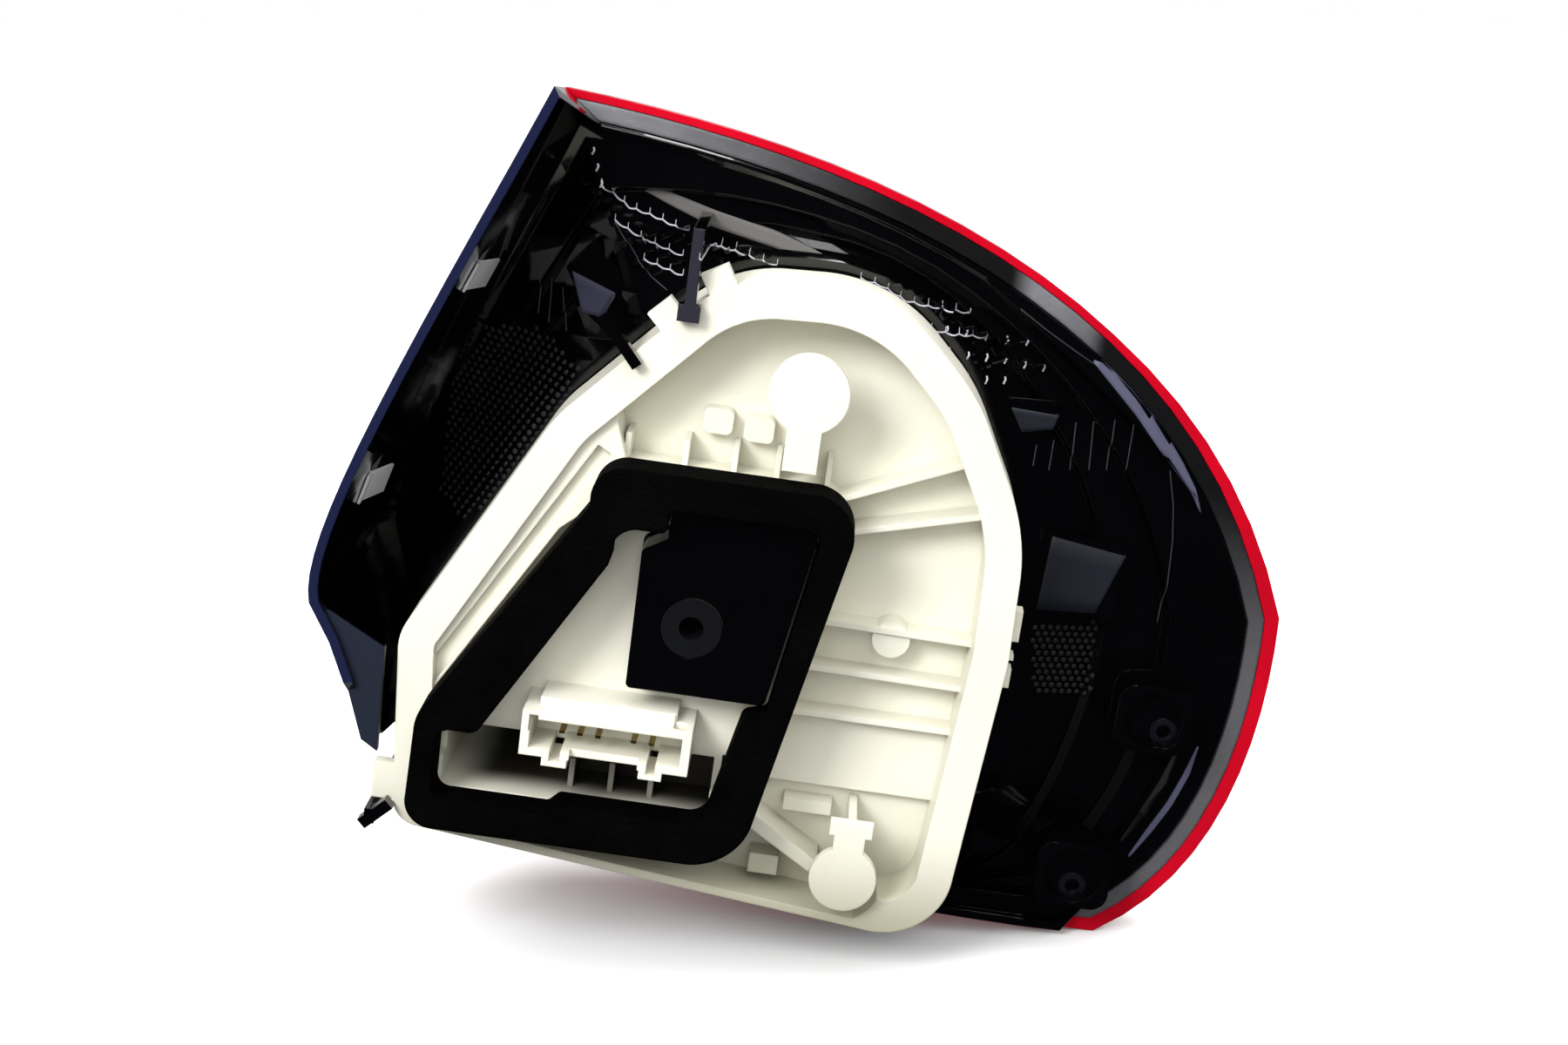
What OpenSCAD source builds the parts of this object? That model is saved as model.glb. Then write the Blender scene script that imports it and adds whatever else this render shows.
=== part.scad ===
// Rear lamp cluster of a small hatchback, left hand, made to be screwed to the body from inside.
// Millimetres. X points outboard, Y from the car body towards the lens, Z up.
// The origin is the mouth of the threaded fixing bore in the middle of the back.

/* [Lens] */
// Thickness of the red outer lens
lens_wall = 2.3; // [2:0.1:2.8]
// Distance from the fixing plane to the front of the lens near its inboard edge
lens_front = 122; // [118:1:126]
// How far the sides of the lens draw in from the rim to the shoulder
lens_draft = 5; // [4:0.5:6]
// Width of the grey bead that bonds the lens to the housing
bead_w = 4.6; // [4:0.1:4.7]

/* [Housing] */
// Thickness of the housing shell
shell = 2.5; // [2:0.1:3]
// Thickness of the inboard side wall
side_wall = 2.6; // [2.2:0.1:3]
// Length of the two clip slots in the side wall
slot_len = 13; // [11:0.5:15]
// Radius of the round recess over each of the two lower inserts
cup_r = 8.2; // [7.5:0.1:8.6]

/* [Bulb carrier] */
// Width of the rim round the carrier
rim_w = 10; // [9:0.5:11]
// Depth of the carrier from its rim to its back edge
carrier_depth = 22; // [20:1:23]
// Thickness of the carrier floor and walls
floor_t = 2.5; // [2:0.1:3]
// Radius of the round thumb pads of the release paddles
pad_r = 11; // [10:0.5:12]

/* [Seals] */
// Thickness of the rubber seal between carrier and housing
seal_t = 3; // [2.5:0.1:3.5]
// Thickness of the foam gasket against the car body
gasket_t = 12; // [9:1:14]

/* [Fixing] */
// Radius of the threaded bore, tapping size of M8
bore_r = 3.4; // [3.3:0.05:3.5]
// Depth of the threaded bore
bore_depth = 14; // [12:1:16]
// Radius of the flange of the threaded insert
insert_r = 8.4; // [8:0.1:8.6]

/* [Connector] */
// Width of the connector shroud
plug_w = 47; // [45:0.5:49]
// Height of the connector shroud
plug_h = 13; // [12:0.5:14]
// Distance between neighbouring pins
pin_pitch = 5; // [4.5:0.1:5.2]

/* [Bulbs] */
// Radius of the glass of a bulb
globe_r = 12.5; // [11.5:0.5:13]
// Radius of the metal base of a bulb
base_r = 7.5; // [7:0.1:7.6]

/* [Hidden] */
$fn = 48;
gap = 0.3;

// levels along Y
carrier_y = 8;
carrier_back = carrier_y + carrier_depth;
floor_y = carrier_back - 1.5 - floor_t;
seat_y = carrier_back + seal_t;
seat_t = 3;
gasket_back = carrier_y - 2;
gasket_near = gasket_back - gasket_t;
platform_y = 13;
pocket_y = 32;
well_y = 58;
plate_y = 78;
plate_t = 2.5;

// rim of the lens: five curved sides, each given by its ends and two handles, as X, Y, Z
side_top = [[-54, 34, 137], [22, 38, 132], [130, 44, 108], [166, 46, 12]];
side_outboard = [[166, 46, 12], [169, 46, -25], [163, 46, -70], [131, 48, -93]];
side_bottom = [[131, 48, -93], [100, 50, -97], [0, 56, -95.5], [-88, 74, -87]];
side_foot = [[-88, 74, -87], [-90, 78, -64], [-96, 80, -34], [-105, 80, -8]];
side_inboard = [[-105, 80, -8], [-109, 80, 8], [-92, 80, 50], [-54, 34, 137]];
n_top = 20;
n_outboard = 12;
n_bottom = 11;
n_foot = 7;
n_inboard = 14;
first_foot = n_top + n_outboard + n_bottom;
rim_n = first_foot + n_foot + n_inboard;
rim_centre = [8, 5];

function bezier(p, t) = p[0] * pow(1 - t, 3) + 3 * p[1] * t * pow(1 - t, 2)
    + 3 * p[2] * t * t * (1 - t) + p[3] * pow(t, 3);
function side(p, n) = [for (i = [0:n - 1]) bezier(p, i / n)];
rim = concat(side(side_top, n_top), side(side_outboard, n_outboard), side(side_bottom, n_bottom),
    side(side_foot, n_foot), side(side_inboard, n_inboard));

function mix(a, b, t) = a + (b - a) * t;
function flat2(p) = [p[0], p[2]];
function unit(v) = v / norm(v);
function rightward(v) = [v[1], -v[0]];
function rim_at(i) = rim[(i + 2 * rim_n) % rim_n];
// unit vector pointing into the lamp, lengthened at corners so that an inset stays even
function inward(i) = let (
    a = rightward(unit(flat2(rim_at(i)) - flat2(rim_at(i - 1)))),
    b = rightward(unit(flat2(rim_at(i + 1)) - flat2(rim_at(i)))))
    (a + b) / max(1 + a * b, 0.6);
inwards = [for (i = [0:rim_n - 1]) inward(i)];
function inset(i, d) = flat2(rim[i]) + inwards[i] * d;
function lift(p, y) = [p[0], y, p[1]];
function rim_y(i) = rim[i][1];

// outline of the carrier: corners, clockwise from the inboard end of the diagonal, and their radii
carrier_corners = [[-81, -16], [-44, 52], [-3, 96], [42, 98.5], [68.5, 72.5], [87, 37], [88, 0], [81, -88], [-78, -72.5]];
carrier_radii = [16, 40, 38, 45, 55, 60, 60, 20, 8];

// outline of the gasket and of its opening
gasket_corners = [[-72, -34], [-31, 32], [-31, 44], [43, 44], [21, -67], [-73, -67]];
gasket_radii = [14, 5, 9, 12, 18, 8];
opening_corners = [[-66, -37], [-55, -37], [-24, 17], [-24, 27.5], [-9.7, 27.5], [-9.7, 34], [32.2, 34],
    [23.4, -21], [17, -23], [10, -55.5], [-31, -55.5], [-34, -58.5], [-66, -58.5]];
opening_radii = [4, 4, 3, 7, 1.5, 2, 4, 2, 3, 6, 2, 2, 4];

// block of the housing that carries the fixing bore, reaching through the carrier
block_corners = [[-16, -19.5], [-16, 20.5], [-9.3, 24.5], [-9.3, 33.4], [31.5, 33.4], [22.6, -19.5]];
block_radii = [1.5, 2, 1.5, 2, 4, 2];

function wrap(l, i) = l[(i + len(l)) % len(l)];
// moves every side of a closed outline in by d; negative d moves it out
function inset_corners(p, d) = [for (i = [0:len(p) - 1]) let (
    a = rightward(unit(p[i] - wrap(p, i - 1))),
    b = rightward(unit(wrap(p, i + 1) - p[i])))
    p[i] + (a + b) / (1 + a * b) * d];
function bend(p, i) = let (
    u = unit(p[i] - wrap(p, i - 1)),
    w = unit(wrap(p, i + 1) - p[i]))
    u[0] * w[1] - u[1] * w[0];
function inset_radii(p, r, d) = [for (i = [0:len(p) - 1]) bend(p, i) < 0 ? max(r[i] - d, 0.6) : max(r[i] + d, 0.6)];
function corner_reach(p, i, r) = let (
    u = unit(wrap(p, i - 1) - p[i]),
    w = unit(wrap(p, i + 1) - p[i]),
    half = acos(max(-1, min(1, u * w))) / 2)
    r / tan(half);
function corner_centre(p, i, r) = let (
    u = unit(wrap(p, i - 1) - p[i]),
    w = unit(wrap(p, i + 1) - p[i]),
    half = acos(max(-1, min(1, u * w))) / 2)
    p[i] + unit(u + w) * r / sin(half);

// extrudes a shape drawn as X, Z from one Y level to another
module slab(y0, y1) translate([0, y1, 0]) rotate([90, 0, 0]) linear_extrude(y1 - y0) children();
module box(x0, x1, y0, y1, z0, z1) translate([x0, y0, z0]) cube([x1 - x0, y1 - y0, z1 - z0]);
module rod(x, z, r, y0, y1) translate([x, y1, z]) rotate([90, 0, 0]) cylinder(h = y1 - y0, r = r);
// straight rib of thickness t between two points
module rib(a, b, t, y0, y1) {
    d = unit(b - a);
    n = rightward(d) * t / 2;
    slab(y0, y1) polygon([a + n, a - n, b - n, b + n]);
}

// plate with a closed clockwise outline and true arcs at its corners, a hair proud of the sides
arc_over = 0.03;
module plate(p, r, y0, y1) {
    difference() {
        union() {
            slab(y0, y1) polygon([for (i = [0:len(p) - 1]) each [
                p[i] + unit(wrap(p, i - 1) - p[i]) * corner_reach(p, i, r[i]),
                p[i] + unit(wrap(p, i + 1) - p[i]) * corner_reach(p, i, r[i])]]);
            for (i = [0:len(p) - 1])
                if (bend(p, i) < 0)
                    rod(corner_centre(p, i, r[i])[0], corner_centre(p, i, r[i])[1], r[i] + arc_over, y0, y1);
        }
        for (i = [0:len(p) - 1])
            if (bend(p, i) > 0)
                rod(corner_centre(p, i, r[i])[0], corner_centre(p, i, r[i])[1], r[i] + arc_over, y0 - 1, y1 + 1);
    }
}
module carrier_plate(d, y0, y1)
    plate(inset_corners(carrier_corners, d), inset_radii(carrier_corners, carrier_radii, d), y0, y1);
module gasket_plate(d, y0, y1)
    plate(inset_corners(gasket_corners, d), inset_radii(gasket_corners, gasket_radii, d), y0, y1);
module opening_plate(d, y0, y1)
    plate(inset_corners(opening_corners, d), inset_radii(opening_corners, opening_radii, d), y0, y1);
module block_plate(d, y0, y1)
    plate(inset_corners(block_corners, d), inset_radii(block_corners, block_radii, d), y0, y1);

// skin through closed rings of points, the last ring joined to the first
module ring_loft(rings, other_way = false) {
    m = len(rings);
    n = len(rings[0]);
    polyhedron(
        points = [for (r = rings) each r],
        faces = [for (j = [0:m - 1]) for (i = [0:n - 1]) let (
            a = j * n + i, b = j * n + (i + 1) % n,
            c = ((j + 1) % m) * n + (i + 1) % n, d = ((j + 1) % m) * n + i)
            each other_way ? [[a, b, d], [b, c, d]] : [[a, b, c], [a, c, d]]]);
}
// skin through closed rings with a point at each end
module cap_loft(rings, start, finish) {
    m = len(rings);
    n = len(rings[0]);
    polyhedron(
        points = concat([for (r = rings) each r], [start, finish]),
        faces = concat(
            [for (j = [0:m - 2]) for (i = [0:n - 1]) let (
                a = j * n + i, b = j * n + (i + 1) % n, c = (j + 1) * n + (i + 1) % n, d = (j + 1) * n + i)
                each [[a, b, c], [a, c, d]]],
            [for (i = [0:n - 1]) [m * n, (i + 1) % n, i]],
            [for (i = [0:n - 1]) [m * n + 1, (m - 1) * n + i, (m - 1) * n + (i + 1) % n]]));
}
// rings of the carrier seat: where rays from the centre of the rim to its points meet the outline
function arc_points(p, i, r, n) = let (
    c = corner_centre(p, i, r),
    a = p[i] + unit(wrap(p, i - 1) - p[i]) * corner_reach(p, i, r) - c,
    b = p[i] + unit(wrap(p, i + 1) - p[i]) * corner_reach(p, i, r) - c)
    [for (k = [0:n]) c + unit(mix(a, b, k / n)) * r];
function traced(d) = let (p = inset_corners(carrier_corners, d), r = inset_radii(carrier_corners, carrier_radii, d))
    [for (i = [0:len(p) - 1]) each arc_points(p, i, r[i], 4)];
function cross2(a, b) = a[0] * b[1] - a[1] * b[0];
function ray_hit(c, d, p) = max([for (i = [0:len(p) - 1]) let (
    e = wrap(p, i + 1) - p[i],
    k = cross2(d, e),
    t = k == 0 ? 0 : cross2(p[i] - c, e) / k,
    s = k == 0 ? -1 : cross2(p[i] - c, d) / k)
    s >= 0 && s <= 1 ? t : 0]);
function seat_trace(d) = let (p = traced(d)) [for (i = [0:rim_n - 1]) let (v = flat2(rim[i]) - rim_centre)
    rim_centre + v * ray_hit(rim_centre, v, p)];
seat_ring = seat_trace(-3);
seat_inner = seat_trace(8);

// front of the lens over a point of the rim plane; it falls away outboard where the lens wraps round
function front_at(p) = lens_front - 0.0011 * pow(p[0] + 60, 2) - 0.0007 * pow(p[1] - 20, 2);

// rings of the lens skin: how far in from the rim, then the share of the way to the centre, then the
// share of the height; all but the first count their height from above the bonded foot of the wall
foot_h = 6.4;
lens_stations = [[0, 0, 0], [0.4, 0, 0], [2.9, 0, 0.25], [5.4, 0, 0.55], [7.2, 0, 0.76], [8.8, 0, 0.9],
    [10.4, 0.05, 0.98], [11.2, 0.32, 1], [11.2, 0.52, 1]];
lens_in = 11.2;
// flange that widens the rim of the lens round its outboard corner
flange_w = 1.9;
function flange(i) = i < n_top - 7 || i > n_top + n_outboard + 3 ? 0
    : i < n_top ? flange_w * (i - n_top + 7) / 7
    : i <= n_top + n_outboard ? flange_w
    : flange_w * (1 - (i - n_top - n_outboard) / 4);
window_share = 0.52;
function lens_point(i, st, t) = let (
    q = inset(i, st[0] * lens_draft / 5 + t - (t == 0 ? flange(i) * max(0, 1 - st[2] / 0.58) : 0)),
    p = mix(q, rim_centre, st[1]),
    top = front_at(p) - t)
    lift(p, st[0] == 0 ? rim_y(i) : mix(rim_y(i) + foot_h, max(top, rim_y(i) + 9), st[2]));
function lens_ring(st, t) = [for (i = [0:rim_n - 1]) lens_point(i, st, t)];
function skin_ring(share, t) = [for (i = [0:rim_n - 1]) let (p = mix(inset(i, lens_in * lens_draft / 5 + t), rim_centre, share))
    lift(p, front_at(p) - t)];

module outer_lens() {
    color([0.62, 0.02, 0.04])
    ring_loft(concat(
        [for (st = lens_stations) lens_ring(st, 0)],
        [for (j = [len(lens_stations) - 1:-1:0]) lens_ring(lens_stations[j], lens_wall)]));
}

// clear middle of the lens, parted at the height of the centre
module clear_middle() {
    middle = lift(rim_centre, front_at(rim_centre));
    cap_loft([skin_ring(0.8, lens_wall), skin_ring(window_share + 0.004, lens_wall),
        skin_ring(window_share + 0.004, 0), skin_ring(0.8, 0)],
        middle - [0, lens_wall, 0], middle);
}
module indicator_window() {
    color([0.95, 0.62, 0.25])
    intersection() {
        clear_middle();
        box(-120, 180, 60, 140, rim_centre[1] + 0.1, 150);
    }
}
module reversing_window() {
    color([0.92, 0.94, 0.95])
    intersection() {
        clear_middle();
        box(-120, 180, 60, 140, -120, rim_centre[1] - 0.1);
    }
}

bead_in = lens_wall + 0.2;
bead_out = bead_in + bead_w;
module lens_bond_bead() {
    color([0.62, 0.63, 0.64])
    ring_loft([
        [for (i = [0:rim_n - 1]) lift(inset(i, bead_in), rim_y(i) - 0.4)],
        [for (i = [0:rim_n - 1]) lift(inset(i, bead_out), rim_y(i) - 0.4)],
        [for (i = [0:rim_n - 1]) lift(inset(i, bead_out), rim_y(i) + 2.2)],
        [for (i = [0:rim_n - 1]) lift(inset(i, bead_in), rim_y(i) + 2.2)]], true);
}

// back of the housing: share of the way from the rim to the carrier seat, and relief along Y
hull_stations = [[0.06, -1.2], [0.32, -3], [0.35, 0.6], [0.6, 0], [0.63, 3], [0.86, 2]];
function hull_point(i, f, relief) = let (
    a = inset(i, bead_out + 1.8),
    p = mix(a, seat_ring[i], f))
    lift(p, mix(rim_y(i), seat_y, f * f) + relief);
function hull_ring(f, relief) = [for (i = [0:rim_n - 1]) hull_point(i, f, relief)];
// the inner face lies a shell thickness deeper and nearer to the middle
function inner_ring(f, relief) = [for (i = [0:rim_n - 1]) let (
    p = hull_point(i, f, relief + shell),
    n = unit(rim_centre - flat2(p)) * 2.2)
    p + [n[0], 0, n[1]]];
function edge_ring(d, dy) = [for (i = [0:rim_n - 1]) lift(inset(i, d), rim_y(i) + dy)];

// the side wall stands on the inboard part of the rim; a low skirt carries it on along the bottom
foot_start = first_foot + 3;
skirt_start = n_top + n_outboard + 1;
function wall_here(i) = i >= skirt_start || i == 0;
function wall_near(i) = i == 0 || i >= foot_start + 2 ? 0
    : i >= foot_start ? 24 - 12 * (i - foot_start)
    : rim_y(i) - 6;
// how far the free edge of the wall leans in below its blunt corner, and out at its top corner
function wall_lean(i) = i < foot_start ? 0
    : i < first_foot + n_foot ? min(4.5, 20 * (1 - (i - first_foot) / n_foot)) : 0;
function wall_edge(i, d) = i == 0 ? inset(0, d) + [1.2, 3.4] : inset(i, d + wall_lean(i));
// ring of the wall: inset and Y where the wall stands, inset and offset from the rim elsewhere
function wall_ring(d, y, near, d_off, dy_off) = [for (i = [0:rim_n - 1]) wall_here(i)
    ? (near ? lift(wall_edge(i, d), wall_near(i)) : lift(inset(i, d), rim_y(i) + y))
    : lift(inset(i, d_off), rim_y(i) + dy_off)];

module housing_shell() {
    ring_loft(concat(
        [edge_ring(bead_in + 0.6, 4.9), edge_ring(bead_in + 0.6, 2.5), edge_ring(bead_out + 0.3, 2.5),
            edge_ring(bead_out + 0.3, -1)],
        [wall_ring(0, -1.3, false, bead_out + 0.4, -1.2), wall_ring(0, 0, true, bead_out + 0.6, -1.4),
            wall_ring(side_wall, 0, true, bead_out + 0.8, -1.6),
            wall_ring(side_wall, -3.6, false, bead_out + 1.1, -1.8),
            wall_ring(bead_out + 1.6, -3.6, false, bead_out + 1.6, -2)],
        [for (st = hull_stations) hull_ring(st[0], st[1])],
        [hull_ring(1, 0), [for (q = seat_inner) lift(q, seat_y)], [for (q = seat_inner) lift(q, seat_y + seat_t)],
            inner_ring(1, seat_t - shell), inner_ring(0.93, 2.6), inner_ring(0.6, 3.4), inner_ring(0.3, 1),
            edge_ring(bead_out + 2.4, 4.9)]));
}

// bulbs, as X, Z: indicator, stop, tail, reversing
bulb_at = [[4, 64], [54, 52], [56, -8], [54, -58]];
socket_h = 10;
track_t = 0.8;
track_w = 3;
track_y = floor_y + floor_t + 0.1;

// connector: inboard end, middle of its height
plug_x = -42.7;
plug_z = -34.5;
plug_near = -6;
function pin_x(i) = plug_x + plug_w / 2 + (i - 2.5) * pin_pitch;

// contact tracks as X, Z points, each starting at its pin
stop_path = [[pin_x(0), plug_z], [-55, plug_z], [-59, -24], [-30, 30], [-24, 42], [-11, 58], [-10, 68], [-5, 76],
    [4, 80], [38, 79], [54, 68], [54, 53]];
indicator_path = [[pin_x(1), plug_z], [pin_x(1), -27], [-46, -14], [-24, 24], [-14, 46], [-4, 58], [3, 63]];
ground_path = [[pin_x(2), plug_z], [pin_x(2), -25], [-32, -10], [-20.5, 14], [-19.5, 20.5], [-12.8, 27],
    [-12.8, 35], [-8, 38.5], [4, 44], [36, 44], [38, 30], [38, -38], [54, -44]];
reversing_path = [[pin_x(4), plug_z], [pin_x(4), -25], [27, -25], [30, -58], [53, -58]];
tail_path = [[pin_x(5), plug_z], [14, -36], [19, -40], [19, -72], [60, -74], [70.5, -66], [70.5, -14], [57, -8]];

// walls that part the lamp into chambers and tie the fixing block to the shell
web_t = 2.2;
web_y0 = seat_y + 0.6;
web_y1 = 74;

// slots of the side wall: where they stand on its inboard side, counted from the blunt corner
slot_share = [0.765, 0.335];
function slot_mid(i) = let (
    q = flat2(bezier(side_inboard, slot_share[i])),
    d = unit(flat2(bezier(side_inboard, slot_share[i] + 0.02)) - q))
    q + rightward(d) * side_wall / 2;
function slot_slope(i) = let (
    d = flat2(bezier(side_inboard, slot_share[i] + 0.02)) - flat2(bezier(side_inboard, slot_share[i] - 0.02)))
    atan2(d[1], d[0]);
slot_y0 = 36;
slot_y1 = 50;
cup_at = [[138.5, -22.5], [120.5, -74.3]];
pad_at = [[134.7, -18.5], [119.9, -70]];
cup_near = 30;

// zigzag ridges on the back of the housing: ends as X, Z, and the level of the surface under them
ridge_rows = [
    [[-47, 114.5], [-29, 103], 34.4], [[-28, 102.6], [8, 99.6], 33.4],
    [[-38, 104], [-28, 98.6], 35.6], [[-28, 98.4], [-17, 94.5], 35.4],
    [[-31, 94], [-22, 91], 36],
    [[40, 98], [51, 94.5], 34], [[51, 94.4], [60, 91.6], 37],
    [[62, 88.4], [70, 86.4], 37.4], [[70, 86.2], [79, 84.2], 39.6],
    [[72, 82], [79, 80.6], 38.6], [[79, 80.4], [87, 79], 40.6]];
module ridge(a, b, level) {
    d = unit(b - a);
    n = rightward(d);
    m = round(norm(b - a) / 3.6);
    step = norm(b - a) / (2 * m);
    slab(level - 1.7, level + 1.8) polygon(concat(
        [for (k = [0:2 * m]) a + d * step * k + n * (k % 2 == 0 ? 0 : 1.3)],
        [for (k = [2 * m:-1:0]) a + d * step * k + n * (k % 2 == 0 ? 1.2 : 2.5)]));
}
// blade with a sloping face: its outer line as X, Y, Z, then how far its inner line lies from that
module blade(line, across, depth) {
    m = len(line);
    polyhedron(
        points = concat(
            [for (k = [0:m - 1]) line[k]],
            [for (k = [0:m - 1]) line[k] + across[k]],
            [for (k = [0:m - 1]) line[k] + [across[k][0], depth, across[k][2]]],
            [for (k = [0:m - 1]) line[k] + [0, depth, 0]]),
        faces = concat(
            [for (j = [0:3]) for (k = [0:m - 2]) let (
                a = j * m + k, b = j * m + k + 1, c = ((j + 1) % 4) * m + k + 1, d = ((j + 1) % 4) * m + k)
                each [[a, b, c], [a, c, d]]],
            [[0, m, 2 * m], [0, 2 * m, 3 * m]],
            [[m - 1, 3 * m - 1, 2 * m - 1], [m - 1, 4 * m - 1, 3 * m - 1]]));
}
module housing_relief() {
    for (r = ridge_rows) ridge(r[0], r[1], r[2]);
    // boss beside the upper hooks, and two flat pads outboard of the carrier
    slab(37.4, 48) polygon([[-49, 87.5], [-41, 97], [-31.5, 84], [-35, 70], [-41, 74.5]]);
    slab(36, 43.6) polygon([[94, 32], [118.6, 30.4], [118.6, 8], [95.3, 7.6]]);
    slab(37.6, 41.6) polygon([[79, 68.4], [92.5, 69], [92.5, 61.4], [81, 60.4]]);
    // crescent blade along the top outboard rim, and a shorter one at the foot of the rim
    blade([for (i = [n_top - 10:n_top - 3]) lift(inset(i, bead_out + 1.6), rim_y(i) - 2)],
        [for (k = [0:7]) let (i = n_top - 10 + k)
        lift(unit(rim_centre - flat2(rim[i])) * (0.8 + 3.6 * sin(k * 180 / 7)), -0.8 - 3 * sin(k * 180 / 7))], 3.2);
    blade([[145.4, 39.4, -29], [143.6, 39.6, -41], [139.6, 39.8, -52], [133.4, 40, -63.6]],
        [[-0.8, 0.6, 0], [-2, 1.6, 0.2], [-2, 1.6, 0.6], [-0.8, 0.6, 0.4]], 5.4);
}

module housing() {
    color([0.03, 0.03, 0.035])
    difference() {
        union() {
            housing_shell();
            // hollow block that carries the fixing bore
            difference() {
                block_plate(0, 0, web_y1);
                block_plate(2.4, 20, web_y1 + 1);
            }
            rib([30, 22], [81, 22], web_t, web_y0, web_y1);
            rib([28, 31], [28, 92], web_t, web_y0, web_y1);
            rib([-14, 10], [-60, 10], web_t, web_y0, web_y1);
            rib([22, -17], [22, -80], web_t, pocket_y + 4, web_y1);
            // posts that carry the reflector
            for (p = [[14, 91.5], [81, 0], [-2, -77.5], [-74, -45]]) rod(p[0], p[1], 2.5, seat_y + 1, plate_y - 0.1);
            // square pads for the lower inserts
            for (c = pad_at)
                plate([c + [-11, -10], c + [-11, 10], c + [11, 10], c + [11, -10]], [5, 5, 5, 5], cup_near, 46);
            // arms that hold the carrier down at the top, on the diagonal and at the bottom
            box(-13, -10, 3.6, 7.5, 84, 108.5);
            box(-14.6, -8.6, 3.6, 7.5, 83.5, 88);
            box(-13, -10, 3.6, 36.5, 105.8, 108.5);
            rib([-33, 80.5], [-23.5, 69.5], 3, 4, 7.5);
            rib([-34.5, 82.2], [-31, 78.2], 3, 4, 37.5);
            // web at the foot of the side wall
            slab(3, 5.6) polygon([[-100.5, -10], [-83.6, -19], [-83.2, -50], [-88, -47]]);
            box(-85.4, -82.4, 3.6, 74.6, -72.4, -68);
            rib([-86, -73], [-78.6, -65.8], 3.4, 3.6, 7.5);
            housing_relief();
        }
        rod(0, 0, 5.7, -1, bore_depth + 2.2);
        rod(0, 0, insert_r + 0.2, -1, 1.6);
        for (c = pad_at) rod(c[0], c[1], cup_r, cup_near - 1, cup_near + 3);
        for (c = cup_at) rod(c[0], c[1], 4.1, cup_near - 1, cup_near + 14.2);
        for (i = [0, 1])
            translate(lift(slot_mid(i), (slot_y0 + slot_y1) / 2)) rotate([0, -slot_slope(i), 0])
                cube([slot_len, slot_y1 - slot_y0, 9], center = true);
    }
}

module strip(path, w, y0, y1) {
    for (i = [0:len(path) - 2]) rib(path[i], path[i + 1], w, y0, y1);
    for (p = path) rod(p[0], p[1], w / 2 + arc_over, y0, y1);
}
module tracks_space() {
    for (p = [stop_path, indicator_path, ground_path, reversing_path, tail_path])
        strip(p, track_w + 0.8, track_y - 0.1, track_y + track_t + 0.4);
    strip([[4, 44], [4, 56.2]], track_w + 0.8, track_y - 0.1, track_y + track_t + 0.4);
    strip([[36, 44], [41, 52], [46, 52]], track_w + 0.8, track_y - 0.1, track_y + track_t + 0.4);
    strip([[38, -8], [48, -8]], track_w + 0.8, track_y - 0.1, track_y + track_t + 0.4);
    strip([[54, -44], [54, -50]], track_w + 0.8, track_y - 0.1, track_y + track_t + 0.4);
}

module carrier_connector() {
    x1 = plug_x + plug_w;
    z0 = plug_z - plug_h / 2;
    z1 = plug_z + plug_h / 2;
    difference() {
        union() {
            box(plug_x, x1, plug_near, floor_y + floor_t, z0, z1);
            box(plug_x + 6.5, plug_x + 13.5, plug_near, 8, z0 - 2.5, z0 + 1);
            box(x1 - 13.5, x1 - 7, plug_near, 8, z0 - 2.5, z0 + 1);
            box(plug_x + 4, x1 - 5, plug_near + 6, platform_y + 1, z1 - 1, z1 + 2.4);
        }
        box(plug_x + 2.5, x1 - 2.5, plug_near - 1, 10, z0 + 2.2, z1 - 2.2);
        box(plug_x + 8.5, plug_x + 11.5, plug_near - 1, 10, z0 - 1, z0 + 3);
        box(x1 - 11.5, x1 - 9, plug_near - 1, 10, z0 - 1, z0 + 3);
        box(plug_x + 14, x1 - 14, plug_near - 1, plug_near + 3.5, z0 - 1, z0 + 3);
        box(x1 - 5.5, x1 - 2, plug_near + 2, plug_near + 7, z1 - 3, z1 + 3);
        box(plug_x + 2, plug_x + 4.5, plug_near - 1, plug_near + 3, z1 - 6, z1 - 1);
    }
}

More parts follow.
